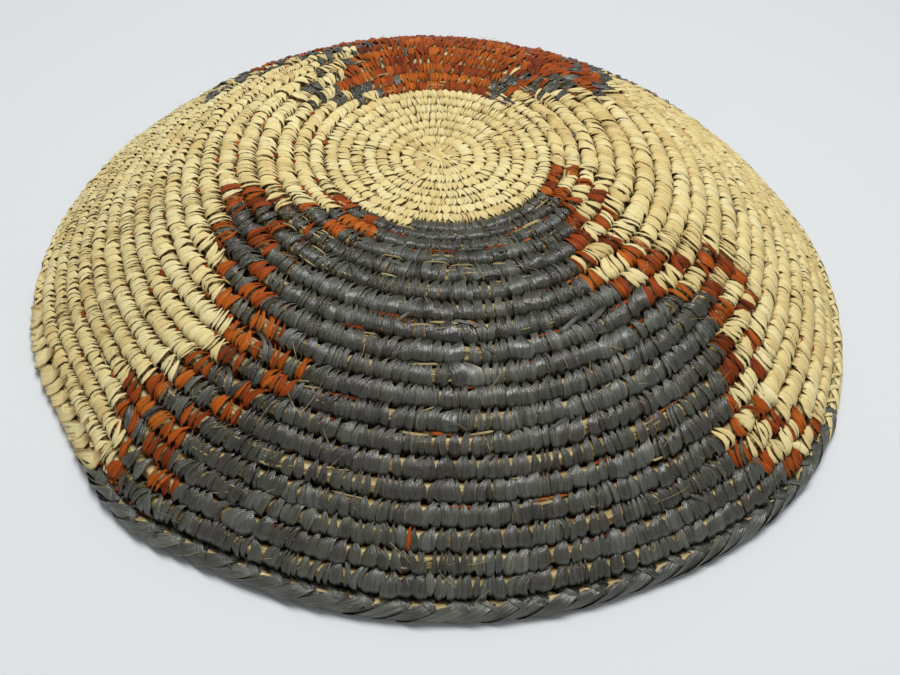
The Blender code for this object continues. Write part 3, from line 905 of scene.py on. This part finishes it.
# %% Plaits of the rim
# starts, ends and spreads are in degrees, places, lifts and crowns in metres, and a pair is two limits
RIM_CROWN = 0.0004
PLACE_SPREAD = 0.3
OVER_START, OVER_SPREAD, OVER_SLANT = -80, 5, (0.9, 1.1)
OVER_WIDTH, OVER_LIFT, OVER_CLIMB = (0.82, 1.18), (0.0, 0.0004), (0.98, 1.08)
UNDER_START, UNDER_SHORT, UNDER_SPREAD = -85, 18, 6
UNDER_WIDTH, UNDER_LIFT = (0.7, 1.0), -0.0003
FOLD_PLACE, FOLD_START, FOLD_SPREAD, FOLD_END = 0.0095, 28, 8, 160
FOLD_SLANT, FOLD_SLANT_SPREAD = -0.0105, 0.0015
FOLD_WIDTH, FOLD_LIFT, FOLD_CROWN = (0.7, 1.3), (0.0002, 0.0008), 0.0006
SECOND_CHANCE, SECOND_BACK, SECOND_START, SECOND_END = 0.6, 0.9, 60, 170
SECOND_WIDTH, SECOND_LIFT = 0.5, (0.0, 0.0006)
INNER_PLACE, INNER_START, INNER_SPREAD, INNER_END = 0.003, 92, 12, 275
INNER_HALF, INNER_LIFT, INNER_CROWN = 0.0030, -0.0002, 0.0005
RIM_TINT = (0.45, 1.0)
PLAIT_SEED, RIM_SEED, RIM_TINT_SEED = 40, 50, 60


def plait_rows(draw, first, last, pitch, slant, top, half, fold_half, climb=0.0, fold_share=1.0):
    """A plait: strips over the edge that end at top, an angle round the section, and folds over them."""
    rows = []
    half_pitch = math.degrees(0.5 * pitch / RIM_RADIUS)
    for middle in np.arange(first, last, math.degrees(pitch / RIM_RADIUS)):
        middle += draw.normal(0, PLACE_SPREAD)
        inner, fold = (middle + math.degrees(metres / RIM_RADIUS) for metres in (INNER_PLACE, FOLD_PLACE))
        rows.append((middle, OVER_START, top + draw.normal(0, OVER_SPREAD), slant * draw.uniform(*OVER_SLANT),
                     half * draw.uniform(*OVER_WIDTH), draw.uniform(*OVER_LIFT), RIM_CROWN,
                     climb * draw.uniform(*OVER_CLIMB)))
        rows.append((middle - half_pitch, UNDER_START, top - UNDER_SHORT + draw.normal(0, UNDER_SPREAD),
                     slant, half * draw.uniform(*UNDER_WIDTH), UNDER_LIFT, RIM_CROWN, climb))
        if draw.random() < fold_share:
            rows.append((fold, FOLD_START + draw.normal(0, FOLD_SPREAD), FOLD_END,
                         FOLD_SLANT + draw.normal(0, FOLD_SLANT_SPREAD),
                         fold_half * draw.uniform(*FOLD_WIDTH), draw.uniform(*FOLD_LIFT), FOLD_CROWN, 0.0))
            if draw.random() < SECOND_CHANCE:
                rows.append((fold - SECOND_BACK, SECOND_START, SECOND_END, FOLD_SLANT,
                             fold_half * SECOND_WIDTH, draw.uniform(*SECOND_LIFT), RIM_CROWN, 0.0))
        for start in (inner, inner + half_pitch):
            rows.append((start, INNER_START + draw.normal(0, INNER_SPREAD), INNER_END, FOLD_SLANT,
                         INNER_HALF, INNER_LIFT, INNER_CROWN, 0.0))
    return rows


RIM_LENGTHS = (
    ("rim_dark_front_strips", dict(
        first=-47, last=60, pitch=0.0120, slant=0.030, top=97, half=0.0027, fold_half=0.0014)),
    ("rim_natural_right_strips", dict(
        first=60, last=135, pitch=0.0085, slant=0.022, top=92, half=0.0017, fold_half=0.0012)),
    ("rim_rust_back_strips", dict(
        first=135, last=225, pitch=0.0110, slant=0.028, top=99, half=0.0022, fold_half=0.0012)),
    ("rim_natural_left_strips", dict(
        first=225, last=284, pitch=0.0085, slant=0.020, top=92, half=0.0018, fold_half=0.0012)),
    ("rim_natural_left_strips", dict(
        first=284, last=314, pitch=0.0098, slant=0.018, top=109, half=0.0050, fold_half=0.0014,
        climb=1.0, fold_share=0.15)),
)
rim_rows = {}
for index, (name, plait) in enumerate(RIM_LENGTHS):
    rim_rows.setdefault(name, []).extend(plait_rows(np.random.default_rng(PLAIT_SEED + index), **plait))
rim_strips = {}
for index, (name, rows) in enumerate(rim_rows.items()):
    tint = np.random.default_rng(RIM_TINT_SEED + index).uniform(*RIM_TINT, len(rows))
    rim_strips[name] = ribbon_piece(name, *rim_ribbons(rows), RIM_SEED + index, tint)
    print(name, "has", len(rows), "strips")

# %% [markdown]
# In the furrows run strips that were carried along the row to the place where they are needed again, and
# ends of straw stick out between the stitches. They lie along the row, close to the bundle. A particle
# system could scatter them, but it doesn't know the rows.

# %% Loose strips along the rows
# dives in half thicknesses of the row, widths and crowns in half widths of the strip, rolls in radians
LOOSE_STATIONS = 9
LOOSE_TURNS = (COLOUR_TURN + 0.4, 26.8)
LOOSE_DIVE, LOOSE_END_WIDTH, LOOSE_CROWN = 0.30, 0.25, 0.35
BOW_SPREAD = 0.05
LOOSE_ROLL, LOOSE_ROLL_START, LOOSE_ROLL_CHANGE = 0.5, 40, 3
SMALL_STEP = 0.001
LOOSE_SEED, LOOSE_PIECE_SEED = 77, 81


def hump_at(way):
    """Height along a strip, 1 in the middle and 0 at both ends, where it dives in."""
    return 1 - (2 * way - 1) ** 4


def along_ribbons(rows):
    """Ribbons along a row: turn, length, across at start and end, lift share, extra lift, half width, bow."""
    turn, length, across_start, across_end, lift_share, lift, half, bow = np.array(rows).T[:, :, None]
    way = np.linspace(0, 1, LOOSE_STATIONS)[None]
    hump = hump_at(way)
    degrees = np.degrees(length / radius_at(turn)) * (way - 0.5)
    across = across_start + (across_end - across_start) * way + bow * hump
    path = on_row(turn, degrees, across, lift_share - LOOSE_DIVE * (1 - hump), lift * hump)
    above, here = (on_row(turn, degrees, across, lift_share, extra) for extra in (lift + SMALL_STEP, lift))
    side = np.cross(above - here, np.gradient(path, axis=1))
    half = half * (LOOSE_END_WIDTH + (1 - LOOSE_END_WIDTH) * hump)
    roll = LOOSE_ROLL * np.sin(bow * LOOSE_ROLL_START + way * LOOSE_ROLL_CHANGE)
    return path, side, half, LEAST_CROWN + LOOSE_CROWN * half, roll


def loose_rows(draw, count, colour, length, across, slant, lift_share, lift, half, reach=(-180, 180)):
    """Loose strips that lie where the sewing has a certain colour, within reach, two angles in degrees."""
    rows = []
    while len(rows) < count:
        turn = draw.uniform(*LOOSE_TURNS)
        degrees = (turn * 360 + 180) % 360 - 180
        if colour_at(turn, degrees) == colour and reach[0] <= degrees < reach[1]:
            place_share = draw.uniform(*across)
            rows.append((turn, draw.uniform(*length), place_share, place_share + draw.normal(0, slant),
                         lift_share, draw.uniform(*lift), draw.uniform(*half), draw.normal(0, BOW_SPREAD)))
    return rows


LOOSE_KINDS = {
    "carried_rust_strips": (
        dict(count=40, colour="dark", length=(0.006, 0.026), across=(-0.45, -0.30), slant=0.05,
             lift_share=0.80, lift=(-0.0003, 0.0002), half=(0.0006, 0.0010)),
        dict(count=95, colour="natural", length=(0.0025, 0.0055), across=(-0.56, -0.40), slant=0.04,
             lift_share=0.84, lift=(-0.0001, 0.0004), half=(0.0008, 0.0013), reach=(-112, -30)),
        dict(count=8, colour="natural", length=(0.0025, 0.005), across=(-0.56, -0.40), slant=0.04,
             lift_share=0.84, lift=(-0.0001, 0.0004), half=(0.0007, 0.0012), reach=(40, 72)),
    ),
    "loose_dark_strips": (
        dict(count=26, colour="dark", length=(0.008, 0.018), across=(-0.6, 0.3), slant=0.55,
             lift_share=1.04, lift=(0.0003, 0.0011), half=(0.0006, 0.0012)),
        dict(count=8, colour="natural", length=(0.003, 0.006), across=(-0.52, -0.35), slant=0.1,
             lift_share=0.75, lift=(0.0, 0.0006), half=(0.0006, 0.0011)),
    ),
    "straw_ends": (
        dict(count=150, colour="dark", length=(0.005, 0.016), across=(-0.45, 0.30), slant=0.12,
             lift_share=0.95, lift=(-0.0001, 0.0006), half=(0.0003, 0.0006)),
        dict(count=60, colour="rust", length=(0.005, 0.014), across=(-0.45, 0.3), slant=0.12,
             lift_share=0.94, lift=(-0.0001, 0.0006), half=(0.0003, 0.0006)),
        dict(count=60, colour="natural", length=(0.004, 0.012), across=(-0.55, -0.3), slant=0.12,
             lift_share=0.85, lift=(-0.0001, 0.0005), half=(0.0003, 0.0005)),
    ),
}
draw = np.random.default_rng(LOOSE_SEED)
loose = {}
for index, (name, kinds) in enumerate(LOOSE_KINDS.items()):
    rows = [row for kind in kinds for row in loose_rows(draw, **kind)]
    loose[name] = ribbon_piece(name, *along_ribbons(rows), LOOSE_PIECE_SEED + index)
    print(name, "has", len(rows), "strips")

# %% [markdown]
# The hole in the middle of the knot is closed by strips that cross it in all directions. They are straight
# when seen from above and follow the knot's height, so they are laid out flat first and then lifted.
# Twenty strips could be placed by hand, but chance crosses them in fewer lines.

# %% Knot strips
KNOT_COUNT, KNOT_SEED, KNOT_PIECE_SEED = 20, 91, 92
KNOT_CROSSING = (180, 45)
KNOT_REACH = (0.0030, 0.0105)
KNOT_HALF, KNOT_LIFT = (0.0006, 0.0014), (0.0001, 0.0009)
KNOT_DIVE = 0.0016
KNOT_END_WIDTH, KNOT_CROWN, KNOT_ROLL = 0.4, 0.3, 0.15


def knot_rows(count, draw):
    """Strips over the knot: angle of each end in degrees, how far out each ends, half width and lift."""
    rows = []
    for _ in range(count):
        start = draw.uniform(0, 360)
        rows.append((start, start + draw.normal(*KNOT_CROSSING), draw.uniform(*KNOT_REACH),
                     draw.uniform(*KNOT_REACH), draw.uniform(*KNOT_HALF), draw.uniform(*KNOT_LIFT)))
    return rows


def knot_ribbons(rows):
    """Ribbons that cross the knot in straight lines and dive in at both ends."""
    start, end, reach_start, reach_end, half, lift = np.array(rows).T[:, :, None]
    way = np.linspace(0, 1, LOOSE_STATIONS)[None]
    hump = hump_at(way)
    first, last = (np.stack([reach * np.sin(np.radians(angle)), -reach * np.cos(np.radians(angle))], axis=-1)
                   for angle, reach in ((start, reach_start), (end, reach_end)))
    flat = first + (last - first) * way[..., None]
    turn = np.interp(np.hypot(flat[..., 0], flat[..., 1]), SECTION_RADII, SECTION_TURNS)
    height = CROWN_HEIGHT - drop_at(turn) + half_thickness(turn) + lift + KNOT_DIVE * (hump - 1)
    path = np.stack([flat[..., 0] - BASE_OFFSET, flat[..., 1], height], axis=-1)
    side = np.cross(np.array([0.0, 0.0, 1.0]), np.gradient(path, axis=1))
    half = half * (KNOT_END_WIDTH + (1 - KNOT_END_WIDTH) * hump)
    return path, side, half, LEAST_CROWN + KNOT_CROWN * half, KNOT_ROLL * np.sin(start) + 0 * half


knot_strips = ribbon_piece(
    "knot_strips", *knot_ribbons(knot_rows(KNOT_COUNT, np.random.default_rng(KNOT_SEED))), KNOT_PIECE_SEED)
print(knot_strips.name, "has", KNOT_COUNT, "strips")

# %% [markdown]
# Everywhere fine fibres have come off the strips. Some lie down again in an arch, others stand off with a
# free end and show as fuzz against the table. Hair would be the usual way, but as ribbons the fibres stay
# meshes and take the same finishes.

# %% Fibres
# near the base the fibres keep to a low share of their height, and on the wall they reach all of it
FIBRE_STATIONS = 7
FIBRE_HALF = (0.00010, 0.00022)
FIRST_FIBRE, LAST_FIBRE = 1.0, 27.6
FREE_SHARE = 0.45
LOW_SHARE, HIGH_SHARE, HIGH_FROM, HIGH_TURNS = 0.18, 0.82, 11, 7
FIBRE_LENGTH, FIBRE_ACROSS = 0.006, 0.5
ARCH_HEIGHT, FREE_HEIGHT, LYING_HEIGHT = (0.0002, 0.0016), (0.0005, 0.0036), -0.0004
FIBRE_LIFT, FIBRE_BEND, FIBRE_THINNER = 1.04, 0.3, 0.6
FIBRE_COUNTS = {"natural": 420, "dark": 130, "rust": 90}
FIBRE_SEED = 93


def fibre_rows(count, colour, draw):
    """Fibres: turn, reach along and across the row, height in the middle and at the end, half width."""
    rows = []
    while len(rows) < count:
        turn = draw.uniform(FIRST_FIBRE, LAST_FIBRE)
        if draw.random() < turn / LAST_FIBRE and colour_at(turn, turn * 360) == colour:
            free = draw.random() < FREE_SHARE
            height = LOW_SHARE + HIGH_SHARE * float(grown(turn, HIGH_FROM, HIGH_TURNS))
            rows.append((turn, draw.normal(0, FIBRE_LENGTH), draw.normal(0, FIBRE_ACROSS),
                         draw.uniform(*ARCH_HEIGHT) * height,
                         draw.uniform(*FREE_HEIGHT) * height if free else LYING_HEIGHT,
                         draw.uniform(*FIBRE_HALF)))
    return rows


def fibre_ribbons(rows):
    """Ribbons that rise in an arch and end high or low."""
    turn, length, across, middle_height, end_height, half = np.array(rows).T[:, :, None]
    way = np.linspace(0, 1, FIBRE_STATIONS)[None]
    extra = 4 * middle_height * way * (1 - way) + end_height * way ** 2
    degrees = np.degrees(length / radius_at(turn)) * (way + FIBRE_BEND * way * (1 - way))
    path = on_row(turn, degrees, across * way, FIBRE_LIFT, extra)
    above = on_row(turn, degrees, across * way, FIBRE_LIFT, extra + SMALL_STEP)
    side = np.cross(above - path, np.gradient(path, axis=1))
    half = half * (1 - FIBRE_THINNER * way)
    return path, side, half, half, 0 * half


fibres = {}
for index, (colour, count) in enumerate(FIBRE_COUNTS.items()):
    rows = fibre_rows(count, colour, np.random.default_rng(FIBRE_SEED + index))
    fibres[colour] = ribbon_piece(f"{colour}_fibres", *fibre_ribbons(rows), FIBRE_SEED + index)
    print(fibres[colour].name, "has", len(rows), "fibres")

# %% [markdown]
# A finish is easier to read as sums than as boxes and lines. The class below stands for one output of a
# node: adding or multiplying two of them adds a Math node. Colours go through Mix, because a Math node
# turns a colour grey, and any other node comes from one method.

# %% Sums with node outputs
MIX_FACTOR, MIX_FIRST, MIX_SECOND, MIX_RESULT = 0, 6, 7, 2


class Wire:
    """One output of a node in a finish."""

    def __init__(self, finish, socket):
        self.finish, self.socket = finish, socket

    def __add__(self, other):
        return self.finish.add("Math", {"operation": "ADD"}, {0: self, 1: other})

    def __sub__(self, other):
        return self.finish.add("Math", {"operation": "SUBTRACT"}, {0: self, 1: other})

    def __rsub__(self, other):
        return self.finish.add("Math", {"operation": "SUBTRACT"}, {0: other, 1: self})

    def __mul__(self, other):
        return self.finish.add("Math", {"operation": "MULTIPLY"}, {0: self, 1: other})

    def __abs__(self):
        return self.finish.add("Math", {"operation": "ABSOLUTE"}, {0: self})

    __radd__, __rmul__ = __add__, __mul__


class Finish:
    """A material being put together from nodes."""

    def __init__(self, name):
        self.material = bpy.data.materials.new(name)
        self.material.use_nodes = True
        self.tree = self.material.node_tree
        self.tree.nodes.clear()

    def add(self, kind, settings=None, links=None, output=0):
        """A node of a kind: its settings first, then the values or wires of its sockets."""
        node = self.tree.nodes.new("ShaderNode" + kind)
        for key, value in (settings or {}).items():
            if key == "stops":
                self.set_stops(node.color_ramp, value)
            else:
                setattr(node, key, value)
        for key, value in (links or {}).items():
            if isinstance(value, Wire):
                self.tree.links.new(value.socket, node.inputs[key])
            else:
                node.inputs[key].default_value = value
        return Wire(self, node.outputs[output]) if node.outputs else None

    @staticmethod
    def set_stops(ramp, stops):
        """As many stops on a colour ramp as there are positions and colours."""
        while len(ramp.elements) < len(stops):
            ramp.elements.new(1.0)
        for element, (position, colour) in zip(ramp.elements, stops):
            element.position, element.color = position, (*colour, 1.0)

    def value(self, name):
        """The number that each point of a mesh carries under a name."""
        return self.add("Attribute", {"attribute_name": name}, output="Fac")

    def blend(self, first, second, factor, way="MIX"):
        """Two colours through a Mix node."""
        first, second = ((*c, 1.0) if isinstance(c, tuple) else c for c in (first, second))
        return self.add("Mix", {"data_type": "RGBA", "blend_type": way},
                        {MIX_FACTOR: factor, MIX_FIRST: first, MIX_SECOND: second}, MIX_RESULT)

    def ramp(self, factor, low, high):
        """0 below low, 1 above high, straight between, and held inside."""
        return self.add("MapRange", {"clamp": True}, {0: factor, 1: low, 2: high, 3: 0.0, 4: 1.0})

    def vector(self, x, y, z):
        return self.add("CombineXYZ", None, {0: x, 1: y, 2: z})

    def noise(self, vector, scale, detail=3.0, roughness=0.55):
        return self.add("TexNoise", None, {"Vector": vector, "Scale": scale, "Detail": detail,
                                           "Roughness": roughness}, output="Fac")


print("an output can be added, subtracted and multiplied, and has an absolute value")

# %% [markdown]
# Palm strip is a piece of leaf: fine ribs run along it, and every strip took the dye a little differently.
# Its ends are darker as painted shade where it dives into the furrow, thin dark lines along it are painted
# shade in fine splits, and its edge line is a paler fray on dark strips and painted shade between natural
# strips.
# The numbers that each ribbon carries put all this in its place without an image.

# %% Palm strips
# a band is where a ramp begins and where it ends
STREAKS_ACROSS, STREAKS_ALONG = 2.3, 0.6
# how far the streaks of one strip lie from those of the next
STREAK_SHIFTS = (37.0, 51.0, 13.0)
STREAK_DETAIL, STREAK_GRAIN, STREAK_BAND = 4.0, 0.7, (0.42, 0.62)
MOTTLE_SCALE, MOTTLE_DETAIL = 9.0, 3.0
BLOTCH_SCALE, BLOTCH_DETAIL, BLOTCH_BAND = 198.0, 2.0, (0.52, 0.72)
BLOTCH_COLOUR, BLOTCH_DEPTH = (0.88, 0.83, 0.74), 0.6
TINT_SHARE, MOTTLE_SHARE, SHADE_SHIFT = 0.80, 0.30, 0.05
SPLIT_SHADE_BAND = (0.37, 0.30)
EDGE_STREAKS = 0.5
END_SHADE_BLOTCHES, END_SHADE_BAND = 0.25, (0.86, 1.12)
STREAK_ROUGHNESS = 0.3
BUMP_DISTANCE = 0.0007


def palm_finish(name, shades, edge, edge_band, edged, split_shade, end_shade, roughness, rough_range, gloss,
                streak_depth, bump):
    """Shades are the ramp stops that the strips take their colours from.

    Edged says at which shades the edge line begins and is full; on natural strips it is painted shade.
    """
    finish = Finish(name)
    along, across = finish.value("strip_along"), finish.value("strip_across")
    tint, shade = finish.value("strip_tint"), finish.value("strip_shade")
    here = finish.add("TexCoord", output="Object")
    shift_across, shift_along, shift_aside = STREAK_SHIFTS
    place_on_strip = finish.vector(across * STREAKS_ACROSS + tint * shift_across,
                                   along * STREAKS_ALONG + shade * shift_along, tint * shift_aside)
    streaks = finish.noise(place_on_strip, 1.0, STREAK_DETAIL, STREAK_GRAIN)
    mottle = finish.noise(here, MOTTLE_SCALE, MOTTLE_DETAIL)
    blotch = finish.noise(here, BLOTCH_SCALE, BLOTCH_DETAIL)
    position = tint * TINT_SHARE + mottle * MOTTLE_SHARE - SHADE_SHIFT
    colour = finish.add("ValToRGB", {"stops": shades}, {0: position})
    colour = finish.blend(colour, (1.0 - streak_depth,) * 3, finish.ramp(streaks, *STREAK_BAND), "MULTIPLY")
    colour = finish.blend(colour, BLOTCH_COLOUR, finish.ramp(blotch, *BLOTCH_BAND) * BLOTCH_DEPTH, "MULTIPLY")
    # painted shade: thin dark lines where the streaks are low stand for shade in fine splits of the leaf
    colour = finish.blend(colour, split_shade, finish.ramp(streaks, *SPLIT_SHADE_BAND), "MULTIPLY")
    # the edge line is a paler fray on dark strips, painted shade between neighbouring natural strips, and
    # darker on rust
    fray_and_seam_shade = finish.ramp(abs(across) + streaks * EDGE_STREAKS, *edge_band)
    colour = finish.blend(colour, edge, fray_and_seam_shade * finish.ramp(shade, *edged))
    end = abs(along * 2.0 - 1.0)
    # painted shade: each strip darkens towards both ends, where it dives into the furrow
    colour = finish.blend(colour, end_shade, finish.ramp(end + blotch * END_SHADE_BLOTCHES, *END_SHADE_BAND), "MULTIPLY")
    rough = roughness + (streaks - 0.5) * STREAK_ROUGHNESS + (shade - 0.5) * rough_range
    normal = finish.add("Bump", None, {"Strength": bump, "Distance": BUMP_DISTANCE, "Height": streaks})
    skin = finish.add("BsdfPrincipled", None, {"Base Color": colour, "Roughness": rough, "Normal": normal,
                                               "Specular IOR Level": gloss})
    finish.add("OutputMaterial", None, {"Surface": skin})
    return finish.material


natural_palm = palm_finish(
    "natural palm",
    shades=((0.0, (0.60, 0.44, 0.17)), (0.22, (0.73, 0.58, 0.25)), (0.62, (0.79, 0.67, 0.315)),
            (1.0, (0.83, 0.735, 0.40))),
    edge=(0.36, 0.24, 0.10), edge_band=(1.00, 1.20), edged=(-0.5, 0.4), split_shade=(0.55, 0.42, 0.28),
    end_shade=(0.28, 0.17, 0.08), roughness=0.60, rough_range=0.2, gloss=0.2, streak_depth=0.20, bump=0.8)
dark_palm = palm_finish(
    "dark palm",
    shades=((0.0, (0.016, 0.016, 0.011)), (0.22, (0.056, 0.047, 0.034)), (0.42, (0.045, 0.047, 0.029)),
            (0.62, (0.071, 0.074, 0.050)), (0.80, (0.087, 0.094, 0.077)), (1.0, (0.145, 0.142, 0.104))),
    edge=(0.20, 0.165, 0.09), edge_band=(1.04, 1.24), edged=(0.6, 1.0), split_shade=(0.30, 0.28, 0.25),
    end_shade=(0.10, 0.09, 0.07), roughness=0.28, rough_range=0.20, gloss=0.85, streak_depth=0.62, bump=1.0)
rust_palm = palm_finish(
    "rust palm",
    shades=((0.0, (0.12, 0.018, 0.003)), (0.35, (0.32, 0.053, 0.005)), (0.75, (0.48, 0.098, 0.006)),
            (1.0, (0.62, 0.185, 0.020))),
    edge=(0.14, 0.04, 0.010), edge_band=(1.04, 1.24), edged=(-0.2, 0.6), split_shade=(0.30, 0.22, 0.18),
    end_shade=(0.06, 0.028, 0.018), roughness=0.45, rough_range=0.3, gloss=0.15, streak_depth=0.55, bump=1.0)
print("palm finishes:", natural_palm.name, dark_palm.name, rust_palm.name)

# %% [markdown]
# Dry grass is paler than palm and has long thin stems with brown spots. The dark lines between the stems are
# partly their own tone and partly painted shadow. At both sides of the bundle, where it lies in the furrows,
# its colour is darkened to brown as painted shade. A picture of straw would repeat along a bundle of many
# metres, and noise that is stretched along it doesn't.

# %% Grass
STEM_COUNT = 17.0
STEM_LENGTHS_PER_METRE = 26.0
STEM_DETAIL, STEM_GRAIN = 4.0, 0.6
# the low dark stops are partly the stems' own tone and partly painted shadow between the stems
STEM_TONES_AND_SHADOWS = ((0.30, (0.16, 0.11, 0.04)), (0.46, (0.44, 0.34, 0.14)),
               (0.58, (0.62, 0.51, 0.25)), (0.72, (0.76, 0.65, 0.40)))
SPOT_SCALE, SPOT_DETAIL, SPOT_COLOUR, SPOT_BAND = 160.0, 2.0, (0.60, 0.45, 0.30), (0.55, 0.75)
FURROW_SHADE_COLOUR, FURROW_SHADE_BAND = (0.34, 0.21, 0.10), (0.55, 0.92)
STEM_ROUGHNESS, STEM_ROUGHNESS_RANGE, STEM_GLOSS = 0.55, 0.3, 0.3
STEM_BUMP, STEM_BUMP_DISTANCE = 0.8, 0.0006


def grass_finish(name, along, around, furrow_shade):
    """Grass whose stems follow two numbers that its points carry, with or without painted furrow shade."""
    finish = Finish(name)
    along, around = finish.value(along), finish.value(around)
    place_on_stem = finish.vector(along * STEM_LENGTHS_PER_METRE, around * STEM_COUNT, 0.0)
    stem = finish.noise(place_on_stem, 1.0, STEM_DETAIL, STEM_GRAIN)
    spots = finish.noise(finish.add("TexCoord", output="Object"), SPOT_SCALE, SPOT_DETAIL)
    colour = finish.add("ValToRGB", {"stops": STEM_TONES_AND_SHADOWS}, {0: stem})
    colour = finish.blend(colour, SPOT_COLOUR, finish.ramp(spots, *SPOT_BAND), "MULTIPLY")
    if furrow_shade:
        # painted shade: the sides of the bundle, which lie in the furrows, are darkened to brown
        side = abs(finish.add("Math", {"operation": "SINE"}, {0: around * (2 * math.pi)}))
        colour = finish.blend(colour, FURROW_SHADE_COLOUR, finish.ramp(side, *FURROW_SHADE_BAND), "MULTIPLY")
    rough = STEM_ROUGHNESS + stem * STEM_ROUGHNESS_RANGE
    normal = finish.add("Bump", None, {"Strength": STEM_BUMP, "Distance": STEM_BUMP_DISTANCE, "Height": stem})
    skin = finish.add("BsdfPrincipled", None, {"Base Color": colour, "Roughness": rough, "Normal": normal,
                                               "Specular IOR Level": STEM_GLOSS})
    finish.add("OutputMaterial", None, {"Surface": skin})
    return finish.material


bundle_grass = grass_finish("bundle grass", "stem_along", "stem_around", True)
loose_grass = grass_finish("loose grass", "strip_tint", "strip_across", False)
print("grass finishes:", bundle_grass.name, loose_grass.name)

# %% [markdown]
# Each piece gets its finish and rides on the one body of the frame, and the solid of the frame that it stands
# for is hidden. This could be written down piece by piece, but most names already hold the colour.

# %% Finishes and the frame
PALMS = {"natural": natural_palm, "dark": dark_palm, "rust": rust_palm}
STANDS_FOR = {
    "base_stitches": "natural_base_stitches", "knot_stitches": "start_knot",
    "dark_front_upper_stitches": "dark_front_upper", "dark_front_lower_stitches": "dark_front_lower",
    "rust_back_upper_stitches": "rust_back_upper", "rust_back_lower_stitches": "rust_back_lower",
    "natural_left_upper_stitches": "natural_left_upper",
    "natural_left_lower_stitches": "natural_left_lower",
    "natural_right_upper_stitches": "natural_right_upper",
    "natural_right_lower_stitches": "natural_right_lower",
    "rim_dark_front_strips": "rim_braid_dark_front", "rim_natural_right_strips": "rim_braid_natural_right",
    "rim_rust_back_strips": "rim_braid_rust_back", "rim_natural_left_strips": "rim_braid_natural_left",
    "base_bundle": "base_coil", "wall_bundle": "wall_coil", "rim_bundle": "rim_coil",
}


def dress(piece, finish):
    """Finish and body of a piece, and hides the solid of the frame that it stands for."""
    piece.data.materials.clear()
    piece.data.materials.append(finish)
    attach(piece, "root")
    if piece.name in STANDS_FOR:
        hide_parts(STANDS_FOR[piece.name])


for name, piece in [*sewn.items(), *rim_strips.items()]:
    colour = next((c for c in ("dark", "rust") if c in name), "natural")
    dress(piece, PALMS[colour])
dress(loose["carried_rust_strips"], rust_palm)
dress(knot_strips, natural_palm)
dress(fibres["natural"], loose_grass)
dress(fibres["dark"], loose_grass)
dress(fibres["rust"], rust_palm)
dress(loose["loose_dark_strips"], dark_palm)
dress(loose["straw_ends"], loose_grass)
for piece in (base_bundle, wall_bundle, rim_bundle):
    dress(piece, bundle_grass)

# %% [markdown]
# The picture was taken on a pale table under broad soft light from above. A large area lamp high over
# the bowl gives the soft gleam on the strips, and the world fills the shadows. Several small lamps would
# light the bowl too, but each would leave its own hard glint on the dark strips.

# %% Floor and light
FLOOR_SIZE = 6.0
FLOOR_COLOUR, FLOOR_ROUGHNESS, FLOOR_GLOSS = (0.630, 0.655, 0.672, 1.0), 0.7, 0.2
LAMP_PLACE = Vector((0.06, 0.06, 1.5))
LAMP_SIZE = 0.8
LAMP_POWER = 20.4
WORLD_COLOUR, WORLD_STRENGTH = (0.99, 0.99, 1.0, 1.0), 0.38


def add_floor():
    """A pale table top, which isn't part of the bowl."""
    half = FLOOR_SIZE / 2
    corners = [(-half, -half, 0), (half, -half, 0), (half, half, 0), (-half, half, 0)]
    mesh = bpy.data.meshes.new("floor")
    mesh.from_pydata(corners, [], [(0, 1, 2, 3)])
    floor = bpy.data.objects.new("floor", mesh)
    bpy.context.scene.collection.objects.link(floor)
    finish = Finish("pale table")
    skin = finish.add("BsdfPrincipled", None, {"Base Color": FLOOR_COLOUR, "Roughness": FLOOR_ROUGHNESS,
                                               "Specular IOR Level": FLOOR_GLOSS})
    finish.add("OutputMaterial", None, {"Surface": skin})
    mesh.materials.append(finish.material)
    return floor


def add_light():
    """One large lamp high over the bowl, and an even pale world."""
    data = bpy.data.lights.new("soft lamp", "AREA")
    data.shape, data.size, data.energy = "DISK", LAMP_SIZE, LAMP_POWER
    lamp = bpy.data.objects.new("soft lamp", data)
    bpy.context.scene.collection.objects.link(lamp)
    lamp.location = LAMP_PLACE
    lamp.rotation_mode = "QUATERNION"
    lamp.rotation_quaternion = (-LAMP_PLACE).to_track_quat("-Z", "Y")
    world = bpy.data.worlds.new("studio")
    world.use_nodes = True
    background = world.node_tree.nodes["Background"]
    background.inputs["Color"].default_value = WORLD_COLOUR
    background.inputs["Strength"].default_value = WORLD_STRENGTH
    bpy.context.scene.world = world
    return lamp


floor = add_floor()
lamp = add_light()
bpy.context.scene.view_settings.view_transform = "Standard"
print("lamp", LAMP_POWER, "W at", [round(v, 2) for v in LAMP_PLACE])
